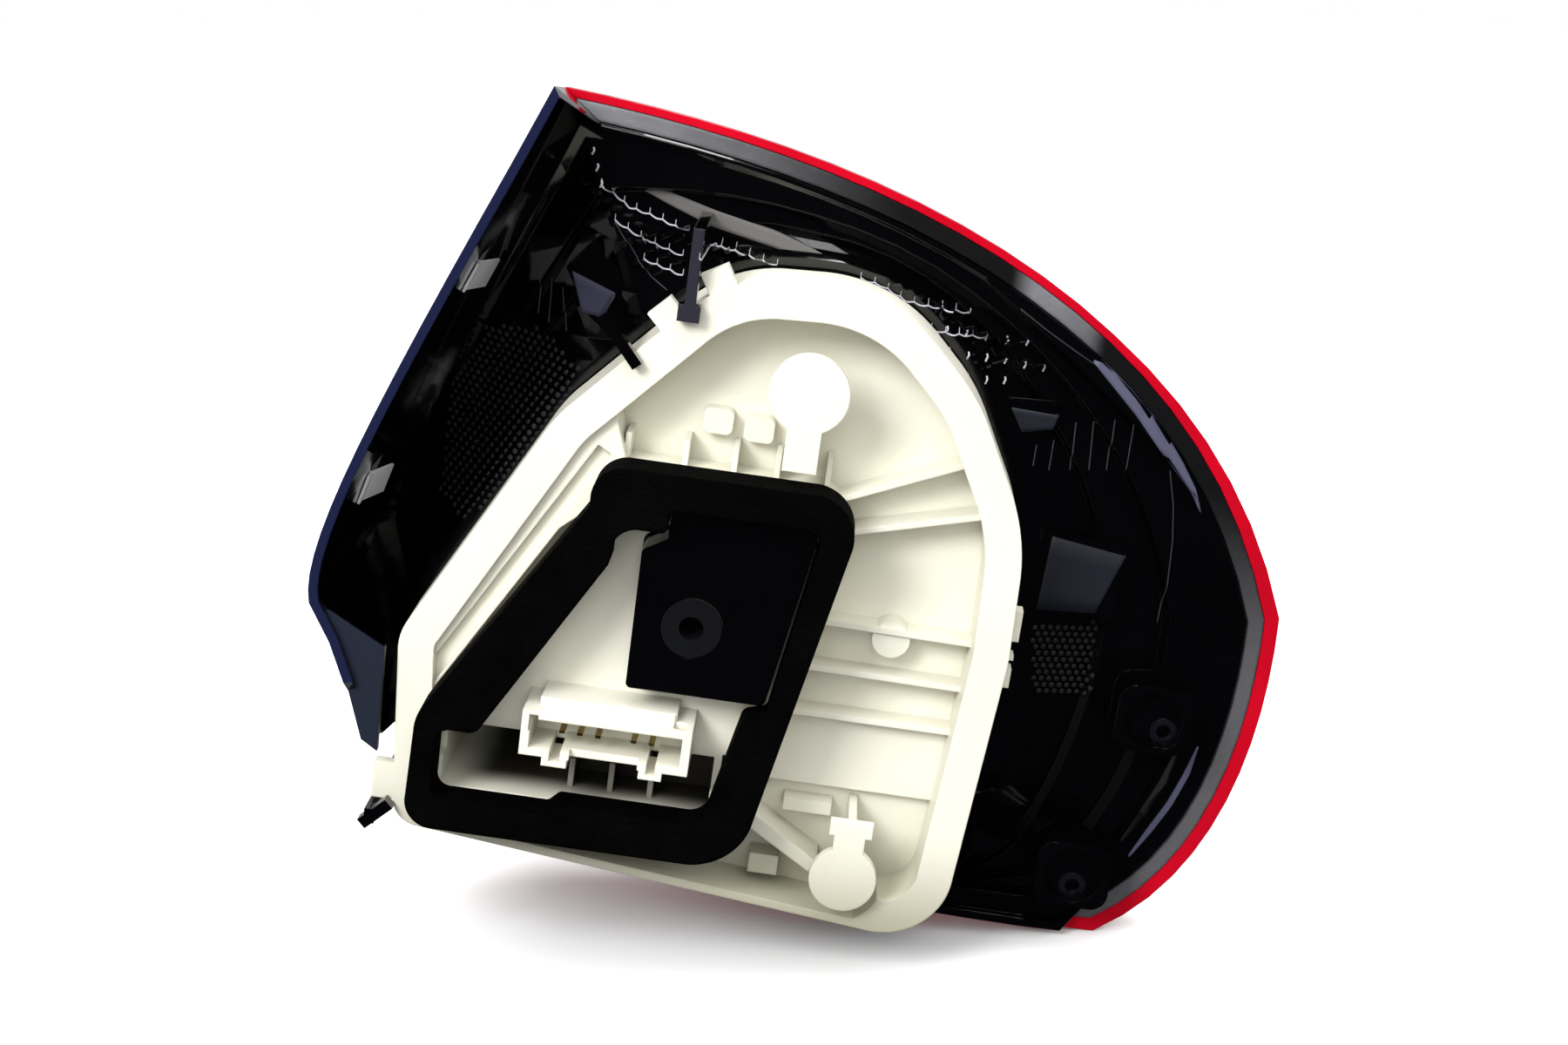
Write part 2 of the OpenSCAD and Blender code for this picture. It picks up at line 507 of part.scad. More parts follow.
module bulb_carrier() {
    floor_back = floor_y + floor_t;
    color([0.9, 0.87, 0.78])
    difference() {
        union() {
            difference() {
                carrier_plate(0, carrier_y, carrier_back);
                carrier_plate(rim_w, carrier_y - 1, floor_y);
                carrier_plate(rim_w, floor_back, carrier_back + 1);
                // the bowl runs on to a thin wall at the bottom, and the pocket goes through its floor
                intersection() {
                    carrier_plate(floor_t, carrier_y - 1, floor_y);
                    union() {
                        box(-72, 48, 0, 40, -100, -66);
                        rod(48, -70, 15.5, 0, 40);
                    }
                }
                box(-65.2, 10.8, floor_y - 1, floor_back + 1, -58.8, -41.6);
                // hollow behind the rim
                difference() {
                    carrier_plate(floor_t, carrier_y + 3, carrier_back + 1);
                    carrier_plate(rim_w - floor_t, carrier_y + 2, carrier_back + 2);
                    box(-74, 68, 0, 40, -100, -68);
                }
            }
            // flange and wall that carry the gasket
            difference() {
                gasket_plate(1, gasket_back, gasket_back + 2);
                opening_plate(-1.2, gasket_back - 1, gasket_back + 3);
            }
            difference() {
                gasket_plate(3, gasket_back, floor_y + 1);
                gasket_plate(5.4, gasket_back - 1, floor_y + 2);
            }
            // plate inside the opening, and the pocket below it
            intersection() {
                gasket_plate(4, platform_y, platform_y + floor_t);
                box(-80, 45, 0, 40, -40.6, 60);
            }
            difference() {
                union() {
                    box(-67.5, 13, gasket_back + 1.5, pocket_y + floor_t, -61, -39.6);
                    box(-67.5, -31.8, pocket_y, well_y + floor_t, -61, -39.6);
                }
                box(-65.2, 10.8, gasket_back, pocket_y, -58.8, -41.6);
                box(-65.2, -34, gasket_back, well_y, -58.8, -41.6);
                box(-70, 20, gasket_back, platform_y, -50, -30);
            }
            carrier_connector();
            // ribs in the pocket
            for (x = [-29.5, -18, -6.5]) box(x - 0.8, x + 0.8, platform_y + 5, pocket_y + 1, -60, -50);
            // ribs over the gasket
            for (x = [-24.3, -8.2, 5.4, 17.3, 31.4]) box(x - 0.8, x + 0.8, 15, floor_y + 1, 40, 48.6);
            // ribs that fan out to the outboard rim
            rib([33, 36.6], [70, 53], 1.8, 16, floor_y + 1);
            rib([38, 28.3], [78, 39.2], 1.8, 16, floor_y + 1);
            rib([30, 1.3], [78, 0.7], 1.8, 18, floor_y + 1);
            rib([28, -12.6], [78, -13], 1.8, 18, floor_y + 1);
            rib([25, -26.5], [78, -26.3], 1.8, 18, floor_y + 1);
            rod(55.5, -1.6, 5.4, 18.8, floor_y + 1);
            difference() {
                intersection() {
                    carrier_plate(rim_w - 1, floor_y - 3.5, floor_y + 1);
                    box(14, 90, 0, 40, -49.5, -27);
                }
                gasket_plate(4, 0, 40);
            }
            // raised pads and stiffeners of the floor
            for (p = [[-0.7, 53.7], [10.8, 52.8]])
                plate([p + [-4.2, -3.6], p + [-4.2, 3.6], p + [4.2, 3.6], p + [4.2, -3.6]], [2, 2, 2, 2], 21, floor_y + 1);
            box(32, 46, 20, floor_y + 1, -57.6, -53.6);
            rib([23, -59], [43, -71], 4, 13, floor_y + 1);
            box(24.5, 33, 18, floor_y + 1, -77.5, -71.5);
            // stepped ledges between the diagonal rim and the gasket
            difference() {
                intersection() {
                    carrier_plate(rim_w - 1, 10.5, floor_y + 1);
                    slab(0, 40) polygon([[-90, -30], [-60, 60], [-30, 60], [-22, 36], [-40, 20], [-74, -38]]);
                }
                gasket_plate(4, 0, 40);
                rib([-74, -32], [-30, 44], 4.4, 0, 13);
            }
            // release paddles
            rod(23, 68.6, pad_r, 3, 6);
            box(18.4, 27.8, 3, 6, 47, 62);
            box(22, 24.4, 3, floor_y + 1, 47, 66);
            rod(51.5, -69.2, pad_r * 0.87, 3, 6);
            box(47.4, 56.2, 3, 6, -68, -52);
            box(45.8, 58, 3, 6, -56, -51.6);
            box(50.8, 53.2, 3, floor_y + 1, -72, -52);
            // outer tabs
            rib([-12, 78], [-20, 86], 8, carrier_y + 0.6, carrier_y + 4);
            rib([-1, 88], [-6.5, 97.5], 8, carrier_y + 1, carrier_y + 5);
            box(-84.6, -78, carrier_y, carrier_y + 4, -66, -55);
            box(82, 90.4, 14, 19, 4.6, 13.6);
            box(82, 89.8, 14, 19, -9.2, 0.4);
            // bulb sockets
            for (p = bulb_at) rod(p[0], p[1], base_r + 3.4, floor_back - 0.5, floor_back + socket_h);
        }
        block_plate(-0.6, gasket_back - 1, carrier_back + 10);
        for (p = bulb_at) rod(p[0], p[1], base_r + 0.7, floor_back, floor_back + socket_h + 1);
        box(18.8, 27.4, floor_y - 1, floor_back + 1, 44.6, 46.6);
        box(86.4, 91, 13, 20, -3.6, -1);
        for (i = [0, 1, 2, 4, 5])
            box(pin_x(i) - 1, pin_x(i) + 1, 9, floor_back + 1, plug_z - 0.7, plug_z + 0.7);
        tracks_space();
    }
}

module carrier_seal() {
    color([0.05, 0.05, 0.05])
    difference() {
        carrier_plate(0.4, carrier_back, seat_y);
        carrier_plate(5.6, carrier_back - 1, seat_y + 1);
    }
}

module foam_gasket() {
    color([0.04, 0.04, 0.045])
    difference() {
        gasket_plate(0, gasket_near, gasket_back);
        opening_plate(0, gasket_near - 1, gasket_back + 1);
    }
}

module threaded_insert() {
    color([0.35, 0.33, 0.3])
    difference() {
        union() {
            rod(0, 0, insert_r, 0, 1.5);
            rod(0, 0, 5.6, 1, bore_depth + 2);
        }
        rod(0, 0, bore_r, -1, bore_depth);
    }
}

module cup_inserts() {
    color([0.7, 0.68, 0.62])
    for (c = cup_at)
        difference() {
            rod(c[0], c[1], 4, cup_near + 3, cup_near + 14);
            rod(c[0], c[1], 2.1, cup_near + 2, cup_near + 12);
        }
}

clip_w = 9;
clip_t = 0.8;
module edge_clips() {
    half = side_wall / 2 + 0.25;
    color([0.55, 0.42, 0.22])
    for (i = [0, 1])
        translate(lift(slot_mid(i), 0)) rotate([0, -slot_slope(i), 0])
            union() {
                // leaf on the outer face, web through the slot, foot and raised tongue on the inner face
                translate([-clip_w / 2, slot_y0 - 5, half]) cube([clip_w, 6.1, clip_t]);
                translate([-clip_w / 2, slot_y0 + 0.3, -half - clip_t]) cube([clip_w, clip_t, 2 * half + 2 * clip_t]);
                translate([-clip_w / 2, slot_y0 - 4, -half - clip_t]) cube([clip_w, 5.1, clip_t]);
                translate([-clip_w / 2, slot_y0 + 0.5, -half - clip_t]) rotate([-12, 0, 0])
                    cube([clip_w, 15, clip_t]);
            }
}

funnel_r = 22;
module reflector() {
    color([0.8, 0.81, 0.82])
    difference() {
        union() {
            carrier_plate(4, plate_y, plate_y + plate_t);
            for (p = bulb_at) translate([p[0], plate_y, p[1]]) rotate([90, 0, 0])
                cylinder(h = 32, r1 = funnel_r + 1.6, r2 = 13.6);
        }
        for (p = bulb_at) {
            translate([p[0], plate_y, p[1]]) rotate([90, 0, 0])
                translate([0, 0, -0.01]) cylinder(h = 32.1, r1 = funnel_r, r2 = 12);
            rod(p[0], p[1], funnel_r, plate_y - 0.1, plate_y + plate_t + 1);
        }
    }
}

module reflex_reflector() {
    color([0.7, 0.03, 0.04])
    plate([[-68, -58], [-62, -12], [-18, -12], [-18, -58]], [5, 5, 5, 5], plate_y + plate_t + 0.1, plate_y + plate_t + 3.6);
}

module bulb(i) {
    x = bulb_at[i][0];
    z = bulb_at[i][1];
    y0 = track_y + track_t + 0.1;
    rod(x, z, 2.4, y0, y0 + 1.4);
    rod(x, z, base_r, y0 + 1.2, y0 + 17);
    translate([x, y0 + 27.9, z]) rotate([90, 0, 0]) cylinder(h = 11, r1 = globe_r * 0.85, r2 = base_r - 0.4);
    translate([x, y0 + 32.5, z]) sphere(globe_r);
}
module indicator_bulb() color([0.9, 0.5, 0.15]) bulb(0);
module stop_bulb() color([0.85, 0.86, 0.88]) bulb(1);
module tail_bulb() color([0.85, 0.86, 0.88]) bulb(2);
module reversing_bulb() color([0.85, 0.86, 0.88]) bulb(3);

module track(path, i) {
    strip(path, track_w, track_y, track_y + track_t);
    box(pin_x(i) - 0.8, pin_x(i) + 0.8, plug_near + 4, track_y + 0.1, plug_z - 0.4, plug_z + 0.4);
}
module stop_track() color([0.72, 0.58, 0.3]) track(stop_path, 0);
module indicator_track() color([0.72, 0.58, 0.3]) track(indicator_path, 1);
module reversing_track() color([0.72, 0.58, 0.3]) track(reversing_path, 4);
module tail_track() color([0.72, 0.58, 0.3]) track(tail_path, 5);
module ground_track() {
    r0 = base_r + 0.1;
    r1 = base_r + 0.6;
    color([0.72, 0.58, 0.3]) {
        track(ground_path, 2);
        strip([[4, 44], [4, 56]], track_w, track_y, track_y + track_t);
        strip([[36, 44], [41, 52], [46, 52]], track_w, track_y, track_y + track_t);
        strip([[38, -8], [48, -8]], track_w, track_y, track_y + track_t);
        strip([[54, -44], [54, -50]], track_w, track_y, track_y + track_t);
        box(2.8, 5.2, track_y, track_y + 7, 64 - r1, 64 - r0);
        box(54 - r1, 54 - r0, track_y, track_y + 7, 50.8, 53.2);
        box(56 - r1, 56 - r0, track_y, track_y + 7, -9.2, -6.8);
        box(52.8, 55.2, track_y, track_y + 7, r0 - 58, r1 - 58);
    }
}

// Piece to draw

housing();
outer_lens();
indicator_window();
reversing_window();
lens_bond_bead();
reflector();
reflex_reflector();
bulb_carrier();
carrier_seal();
foam_gasket();
threaded_insert();
cup_inserts();
edge_clips();
indicator_bulb();
stop_bulb();
tail_bulb();
reversing_bulb();
ground_track();
stop_track();
indicator_track();
tail_track();
reversing_track();
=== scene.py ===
"""Rear lamp cluster seen from its back: finishes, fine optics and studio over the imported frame."""

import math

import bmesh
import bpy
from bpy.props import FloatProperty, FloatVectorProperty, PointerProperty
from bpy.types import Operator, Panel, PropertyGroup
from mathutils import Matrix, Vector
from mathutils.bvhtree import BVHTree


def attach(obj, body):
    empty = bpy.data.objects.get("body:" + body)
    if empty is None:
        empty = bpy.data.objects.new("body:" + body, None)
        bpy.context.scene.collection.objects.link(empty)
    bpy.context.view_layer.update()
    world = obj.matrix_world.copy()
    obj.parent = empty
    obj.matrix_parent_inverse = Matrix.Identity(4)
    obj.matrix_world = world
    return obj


bl_info = {
    "name": "Rear lamp cluster",
    "version": (1, 0, 0),
    "blender": (4, 5, 0),
    "location": "View3D > Sidebar > Rear lamp",
    "description": "Dresses the frame of a rear lamp cluster with its finishes, fine optics and studio",
    "category": "Object",
}

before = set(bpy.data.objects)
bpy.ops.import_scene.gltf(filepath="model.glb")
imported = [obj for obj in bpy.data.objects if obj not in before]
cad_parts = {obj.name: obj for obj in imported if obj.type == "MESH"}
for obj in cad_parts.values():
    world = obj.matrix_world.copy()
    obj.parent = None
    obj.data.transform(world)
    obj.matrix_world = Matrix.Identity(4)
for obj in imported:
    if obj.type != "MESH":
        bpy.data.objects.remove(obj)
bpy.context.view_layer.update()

MM = 0.001
# fine pieces start this far inside the surface that carries them, in metres
SUNK = 0.0003
# rays that find the back of the housing start at this Y, in metres
RAY_START_Y = -0.03
# any direction that no crest runs in
SKEW = Vector((0.02, 1, 0.01))
# rows of a hexagonal grid lie this many pitches apart
HEX_ROW = 0.866

# nearly all of a noise's values lie between these
NOISE_LOW, NOISE_HIGH = 0.3, 0.7
# features a metre of a moulding's colour clouds and of its uneven gloss
CLOUDS_PER_METRE, GLOSS_PER_METRE = 28, 55


# Settings

class LampFinishSettings(PropertyGroup):
    """Colours and surface sizes of the lamp's plastics, rubber and metal."""

    housing_black: FloatVectorProperty(
        name="Housing black", description="Colour of the gloss black housing",
        subtype="COLOR", size=3, min=0, max=1, default=(0.0010, 0.0010, 0.0013))
    # painted highlight: blue along the near edge of the side wall
    rim_highlight_blue: FloatVectorProperty(
        name="Rim blue", description="Bluish sheen along the near edge of the side wall",
        subtype="COLOR", size=3, min=0, max=1, default=(0.010, 0.013, 0.042))
    # painted sheen: grey on the web at the foot of the side wall
    web_sheen_grey: FloatVectorProperty(
        name="Web grey", description="Dull grey of the web at the foot of the side wall",
        subtype="COLOR", size=3, min=0, max=1, default=(0.016, 0.020, 0.032))
    # painted highlight: grey on the arm over the carrier's top
    arm_highlight_grey: FloatVectorProperty(
        name="Arm grey", description="Worn grey of the arm over the carrier's top",
        subtype="COLOR", size=3, min=0, max=1, default=(0.024, 0.024, 0.034))
    lens_red: FloatVectorProperty(
        name="Lens red", description="Colour of the red outer lens",
        subtype="COLOR", size=3, min=0, max=1, default=(0.66, 0.003, 0.018))
    carrier_ivory: FloatVectorProperty(
        name="Carrier ivory", description="Colour of the moulded bulb carrier",
        subtype="COLOR", size=3, min=0, max=1, default=(0.83, 0.815, 0.70))
    # painted shade: brown darkening in the deep hollows of the carrier
    hollow_shade_brown: FloatVectorProperty(
        name="Hollow brown", description="Grime in the deep hollows of the bulb carrier",
        subtype="COLOR", size=3, min=0, max=1, default=(0.085, 0.078, 0.055))
    # painted shade: darker ivory along the carrier's lower edge
    low_painted_shade: FloatVectorProperty(
        name="Low shade", description="Dulled ivory along the carrier's lower edge",
        subtype="COLOR", size=3, min=0, max=1, default=(0.36, 0.345, 0.25))
    foam_black: FloatVectorProperty(
        name="Foam black", description="Colour of the foam gasket",
        subtype="COLOR", size=3, min=0, max=1, default=(0.0008, 0.0008, 0.0008))
    bead_grey: FloatVectorProperty(
        name="Bead grey", description="Colour of the bead that bonds the lens",
        subtype="COLOR", size=3, min=0, max=1, default=(0.21, 0.21, 0.225))
    mould_edge: FloatProperty(
        name="Moulded edge", description="Radius of the soft edges of moulded pieces",
        unit="LENGTH", min=0, max=0.002, default=0.0006)


class LampOpticSettings(PropertyGroup):
    """Sizes of the domes and crests on the back of the housing."""

    dome_pitch: FloatProperty(
        name="Dome pitch", description="Distance between neighbouring domes",
        unit="LENGTH", min=0.002, max=0.006, default=0.0023)
    dome_radius: FloatProperty(
        name="Dome radius", description="Radius of one dome at its foot",
        unit="LENGTH", min=0.0005, max=0.003, default=0.00088)
    dome_rise: FloatProperty(
        name="Dome rise", description="Height of a dome above the housing",
        unit="LENGTH", min=0.0002, max=0.002, default=0.0005)
    # painted sheen: the domes are greyer than the black housing they belong to
    dome_sheen_grey: FloatVectorProperty(
        name="Dome grey", description="Colour of the domes",
        subtype="COLOR", size=3, min=0, max=1, default=(0.014, 0.015, 0.016))
    scallop_pitch: FloatProperty(
        name="Scallop pitch", description="Length of one arc of the scalloped crests",
        unit="LENGTH", min=0.002, max=0.01, default=0.0040)
    crest_radius: FloatProperty(
        name="Crest radius", description="Radius of the scalloped crests",
        unit="LENGTH", min=0.0001, max=0.001, default=0.00026)


class LampStudioSettings(PropertyGroup):
    """Floor, lights and camera of the studio."""

    floor_white: FloatVectorProperty(
        name="Floor white", description="Colour of the studio floor",
        subtype="COLOR", size=3, min=0, max=1, default=(0.95, 0.95, 0.95))
    floor_reach: FloatProperty(
        name="Floor reach", description="Half the length of the floor's sides",
        unit="LENGTH", min=1, max=10, default=4)
    sky: FloatProperty(
        name="Sky", description="Strength of the white light from all round",
        min=0, max=3, default=1.0)
    focal: FloatProperty(
        name="Focal length", description="Focal length of the camera on a 36 mm sensor",
        min=20, max=200, default=52.08)
    look_down: FloatProperty(
        name="Look down", description="Angle of the camera below the level",
        subtype="ANGLE", min=0, max=math.pi / 2, default=math.radians(16))
    roll: FloatProperty(
        name="Roll", description="Turn of the camera about its own line of sight",
        subtype="ANGLE", min=-math.pi, max=math.pi, default=math.radians(8))


# Shader nodes

def new_finish(name):
    """An empty node material, with its shader and its links."""
    finish = bpy.data.materials.new(name)
    finish.use_nodes = True
    return finish, finish.node_tree.nodes, finish.node_tree.links, finish.node_tree.nodes["Principled BSDF"]


def object_noise(nodes, links, scale, detail=3.0):
    """Noise that sits still on the object; scale is in features a metre."""
    place = nodes.new("ShaderNodeTexCoord")
    noise = nodes.new("ShaderNodeTexNoise")
    noise.inputs["Scale"].default_value = scale
    noise.inputs["Detail"].default_value = detail
    links.new(place.outputs["Object"], noise.inputs["Vector"])
    return noise.outputs["Fac"]


def spread(nodes, links, value, low, high):
    """Maps a noise to a range."""
    ranged = nodes.new("ShaderNodeMapRange")
    ranged.inputs["From Min"].default_value = NOISE_LOW
    ranged.inputs["From Max"].default_value = NOISE_HIGH
    ranged.inputs["To Min"].default_value = low
    ranged.inputs["To Max"].default_value = high
    links.new(value, ranged.inputs["Value"])
    return ranged.outputs["Result"]


def two_tone(nodes, links, value, first, second):
    """Blends two colours by a value."""
    blend = nodes.new("ShaderNodeMix")
    blend.data_type = "RGBA"
    blend.inputs["A"].default_value = (*first, 1)
    blend.inputs["B"].default_value = (*second, 1)
    links.new(value, blend.inputs["Factor"])
    return blend.outputs["Result"]


def surface_relief(nodes, links, shader, height, depth, edge=0.0):
    """Bumps the surface by a height, over edges rounded by a radius."""
    bump = nodes.new("ShaderNodeBump")
    bump.inputs["Distance"].default_value = depth
    links.new(height, bump.inputs["Height"])
    if edge:
        soft = nodes.new("ShaderNodeBevel")
        soft.samples = 4
        soft.inputs["Radius"].default_value = edge
        links.new(soft.outputs["Normal"], bump.inputs["Normal"])
    links.new(bump.outputs["Normal"], shader.inputs["Normal"])


def darker(colour, share):
    """A colour brought down to a share of itself."""
    return tuple(channel * share for channel in colour)


def ramp(nodes, links, value, none, full):
    """Goes smoothly from 0 at one value to 1 at another."""
    ranged = nodes.new("ShaderNodeMapRange")
    ranged.interpolation_type = "SMOOTHSTEP"
    ranged.inputs["From Min"].default_value = none
    ranged.inputs["From Max"].default_value = full
    links.new(value, ranged.inputs["Value"])
    return ranged.outputs["Result"]


def joined(nodes, links, how, first, second):
    """Joins two values by the named operation of a Math node."""
    maths = nodes.new("ShaderNodeMath")
    maths.operation = how
    links.new(first, maths.inputs[0])
    links.new(second, maths.inputs[1])
    return maths.outputs["Value"]


def region(nodes, links, *ramps):
    """A part of the object: the product of ramps, each an axis with its values for 0 and for 1."""
    place = nodes.new("ShaderNodeTexCoord")
    apart = nodes.new("ShaderNodeSeparateXYZ")
    links.new(place.outputs["Object"], apart.inputs["Vector"])
    share = None
    for axis, none, full in ramps:
        step = ramp(nodes, links, apart.outputs[axis], none, full)
        share = step if share is None else joined(nodes, links, "MULTIPLY", share, step)
    return share


def tint(nodes, links, shader, share, colour):
    """Blends the base colour towards another colour by a share."""
    blend = nodes.new("ShaderNodeMix")
    blend.data_type = "RGBA"
    links.new(shader.inputs["Base Color"].links[0].from_socket, blend.inputs["A"])
    blend.inputs["B"].default_value = (*colour, 1)
    links.new(share, blend.inputs["Factor"])
    links.new(blend.outputs["Result"], shader.inputs["Base Color"])


def hollows(nodes, links, reach, open_at, full):
    """0 where the surface lies open, up to a full value in deep hollows: where shade is painted."""
    shade = nodes.new("ShaderNodeAmbientOcclusion")
    shade.samples = 8
    shade.inputs["Distance"].default_value = reach
    deep = ramp(nodes, links, shade.outputs["AO"], open_at, 0.0)
    faint = nodes.new("ShaderNodeMath")
    faint.operation = "MULTIPLY"
    faint.inputs[1].default_value = full
    links.new(deep, faint.inputs[0])
    return faint.outputs["Value"]


def moulded(name, colour, rough, grain, depth, edge=0.0, specular=0.5, coat=0.0, mottle=0.9):
    """A moulded plastic with slight mottling, uneven gloss and a grain of so many features a metre."""
    finish, nodes, links, shader = new_finish(name)
    cloud = spread(nodes, links, object_noise(nodes, links, CLOUDS_PER_METRE), 0, 1)
    links.new(two_tone(nodes, links, cloud, darker(colour, mottle), colour), shader.inputs["Base Color"])
    links.new(spread(nodes, links, object_noise(nodes, links, GLOSS_PER_METRE), rough * 0.8, rough * 1.2),
              shader.inputs["Roughness"])
    shader.inputs["Specular IOR Level"].default_value = specular
    shader.inputs["Coat Weight"].default_value = coat
    shader.inputs["Coat Roughness"].default_value = 0.06
    surface_relief(nodes, links, shader, object_noise(nodes, links, grain), depth, edge)
    return finish, shader


def metal(name, colour, rough, grain=900):
    """A metal with fine scratches in its gloss."""
    finish, nodes, links, shader = new_finish(name)
    shader.inputs["Metallic"].default_value = 1
    wear = spread(nodes, links, object_noise(nodes, links, scale=160, detail=6), 0, 1)
    links.new(two_tone(nodes, links, wear, darker(colour, 0.7), colour), shader.inputs["Base Color"])
    links.new(spread(nodes, links, object_noise(nodes, links, scale=300), rough * 0.7, rough * 1.4),
              shader.inputs["Roughness"])
    surface_relief(nodes, links, shader, object_noise(nodes, links, grain), depth=0.00004, edge=0.0002)
    return finish


def cellular(name, colour):
    """Closed-cell foam: a dull skin with small open cells."""
    finish, nodes, links, shader = new_finish(name)
    place = nodes.new("ShaderNodeTexCoord")
    cells = nodes.new("ShaderNodeTexVoronoi")
    cells.inputs["Scale"].default_value = 900
    links.new(place.outputs["Object"], cells.inputs["Vector"])
    cloud = spread(nodes, links, object_noise(nodes, links, scale=90, detail=5), 0, 1)
    wear_and_sheen = tuple(channel * 2.2 for channel in colour)
    links.new(two_tone(nodes, links, cloud, colour, wear_and_sheen), shader.inputs["Base Color"])
    shader.inputs["Roughness"].default_value = 0.95
    shader.inputs["Specular IOR Level"].default_value = 0.03
    surface_relief(nodes, links, shader, cells.outputs["Distance"], depth=0.00025, edge=0.0012)
    return finish


def dress(node, finish):
    """Gives a piece of the frame its finish."""
    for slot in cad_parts[node].material_slots:
        slot.material = finish


# The housing's surface

def back_surface():
    """The housing as a tree that rays can hit."""
    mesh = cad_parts["housing"].data
    points = [vertex.co.copy() for vertex in mesh.vertices]
    return BVHTree.FromPolygons(points, [list(face.vertices) for face in mesh.polygons])


def seen_at(surface, x, z):
    """Where a ray along Y first meets the housing, and the normal there; X and Z in metres."""
    place, normal, _, _ = surface.ray_cast(Vector((x, RAY_START_Y, z)), Vector((0, 1, 0)))
    return place, normal


def inside(point, outline):
    """True if a point of X, Z lies inside a closed outline."""
    x, z = point
    odd = False
    for (x0, z0), (x1, z1) in zip(outline, outline[1:] + outline[:1]):
        if (z0 > z) != (z1 > z) and x < (x1 - x0) * (z - z0) / (z1 - z0) + x0:
            odd = not odd
    return odd


def grid_in(outline, pitch):
    """Points of a hexagonal grid inside an outline of X, Z."""
    low = [min(p[k] for p in outline) for k in (0, 1)]
    high = [max(p[k] for p in outline) for k in (0, 1)]
    rows = int((high[1] - low[1]) / (pitch * HEX_ROW)) + 1
    columns = int((high[0] - low[0]) / pitch) + 2
    for row in range(rows):
        for column in range(columns):
            point = (low[0] + (column + 0.5 * (row % 2)) * pitch, low[1] + row * pitch * HEX_ROW)
            if inside(point, outline):
                yield point


def add_piece(name, made, finish):
    """Makes a piece from a bmesh, with its finish, on the lamp's only body."""
    mesh = bpy.data.meshes.new(name)
    made.to_mesh(mesh)
    made.free()
    for face in mesh.polygons:
        face.use_smooth = True
    mesh.materials.append(finish)
    piece = bpy.data.objects.new(name, mesh)
    bpy.context.scene.collection.objects.link(piece)
    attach(piece, "root")
    return piece


def add_dome(made, place, normal, radius, rise, steps=8, rings=3):
    """One flattened dome on a surface."""
    turn = normal.to_track_quat("Z", "Y").to_matrix()
    levels = []
    for ring in range(rings):
        tilt = math.pi / 2 * ring / rings
        levels.append([made.verts.new(place + turn @ Vector((
            radius * math.cos(tilt) * math.cos(math.tau * k / steps),
            radius * math.cos(tilt) * math.sin(math.tau * k / steps),
            rise * math.sin(tilt) - (SUNK if ring == 0 else 0)))) for k in range(steps)])
    top = made.verts.new(place + turn @ Vector((0, 0, rise)))
    for lower, upper in zip(levels, levels[1:]):
        for k in range(steps):
            made.faces.new((lower[k], lower[(k + 1) % steps], upper[(k + 1) % steps], upper[k]))
    for k in range(steps):
        made.faces.new((levels[-1][k], levels[-1][(k + 1) % steps], top))
    made.faces.new(list(reversed(levels[0])))


def spaced(line, count):
    """Evenly spaced points along a line of X, Z."""
    lengths = [math.dist(a, b) for a, b in zip(line, line[1:])]
    points = []
    for k in range(count):
        gone = sum(lengths) * k / (count - 1)
        leg = 0
        while gone > lengths[leg] and leg < len(lengths) - 1:
            gone -= lengths[leg]
            leg += 1
        (x0, z0), (x1, z1) = line[leg], line[leg + 1]
        share = min(1, gone / lengths[leg])
        points.append((x0 + (x1 - x0) * share, z0 + (z1 - z0) * share))
    return points


def lying(surface, line):
    """A line of X, Z in millimetres laid on the back of the housing."""
    places = [seen_at(surface, x * MM, z * MM)[0] for x, z in line]
    return [place for place in places if place is not None]


def add_crest(made, places, radius, sides=6):
    """A thin raised line through points, closed at both ends."""
    rings = []
    for before, here, after in zip(places[:1] + places, places, places[1:] + places[-1:]):
        ahead = (after - before).normalized()
        across = ahead.cross(SKEW).normalized()
        out = across.cross(ahead)
        rings.append([made.verts.new(here + radius * (math.cos(math.tau * k / sides) * across
                                                      + math.sin(math.tau * k / sides) * out))
                      for k in range(sides)])
    for lower, upper in zip(rings, rings[1:]):
        for k in range(sides):
            made.faces.new((lower[k], lower[(k + 1) % sides], upper[(k + 1) % sides], upper[k]))
    made.faces.new(list(reversed(rings[0])))
    made.faces.new(rings[-1])


def add_band(made, surface, first, second, rise, level=False, count=24, across=5):
    """A raised band between two lines of X, Z in millimetres; a level one has a flat top."""
    rows = []
    for share in (k / (across - 1) for k in range(across)):
        line = [(a[0] + (b[0] - a[0]) * share, a[1] + (b[1] - a[1]) * share)
                for a, b in zip(spaced(first, count), spaced(second, count))]
        rows.append(lying(surface, line))
    depths = sorted(place.y for row in rows for place in row)
    middle = depths[len(depths) // 2]
    tops, feet = [], []
    for row in rows:
        tops.append([made.verts.new((p.x, (middle if level else p.y) - rise, p.z)) for p in row])
        feet.append([made.verts.new((p.x, (depths[-1] if level else p.y) + SUNK, p.z)) for p in row])
    for layer, turned in ((tops, False), (feet, True)):
        for lower, upper in zip(layer, layer[1:]):
            for k in range(count - 1):
                face = [lower[k], lower[k + 1], upper[k + 1], upper[k]]
                made.faces.new(face[::-1] if turned else face)
    for top, foot in ((tops[0], feet[0]), (tops[-1], feet[-1]),
                      ([row[0] for row in tops], [row[0] for row in feet]),
                      ([row[-1] for row in tops], [row[-1] for row in feet])):
        for k in range(len(top) - 1):
            made.faces.new((top[k], top[k + 1], foot[k + 1], foot[k]))
    bmesh.ops.recalc_face_normals(made, faces=made.faces)


# an arc of a scalloped crest hangs down by its sag, in millimetres, and is drawn in so many steps
ARC_SAG, ARC_STEPS = 0.5, 8
# an upright tick between two arcs: its height in steps of so many millimetres, and its radius in
# radii of the crest
TICK_STEPS, TICK_STEP, TICK_RADII = 4, 0.4, 0.45
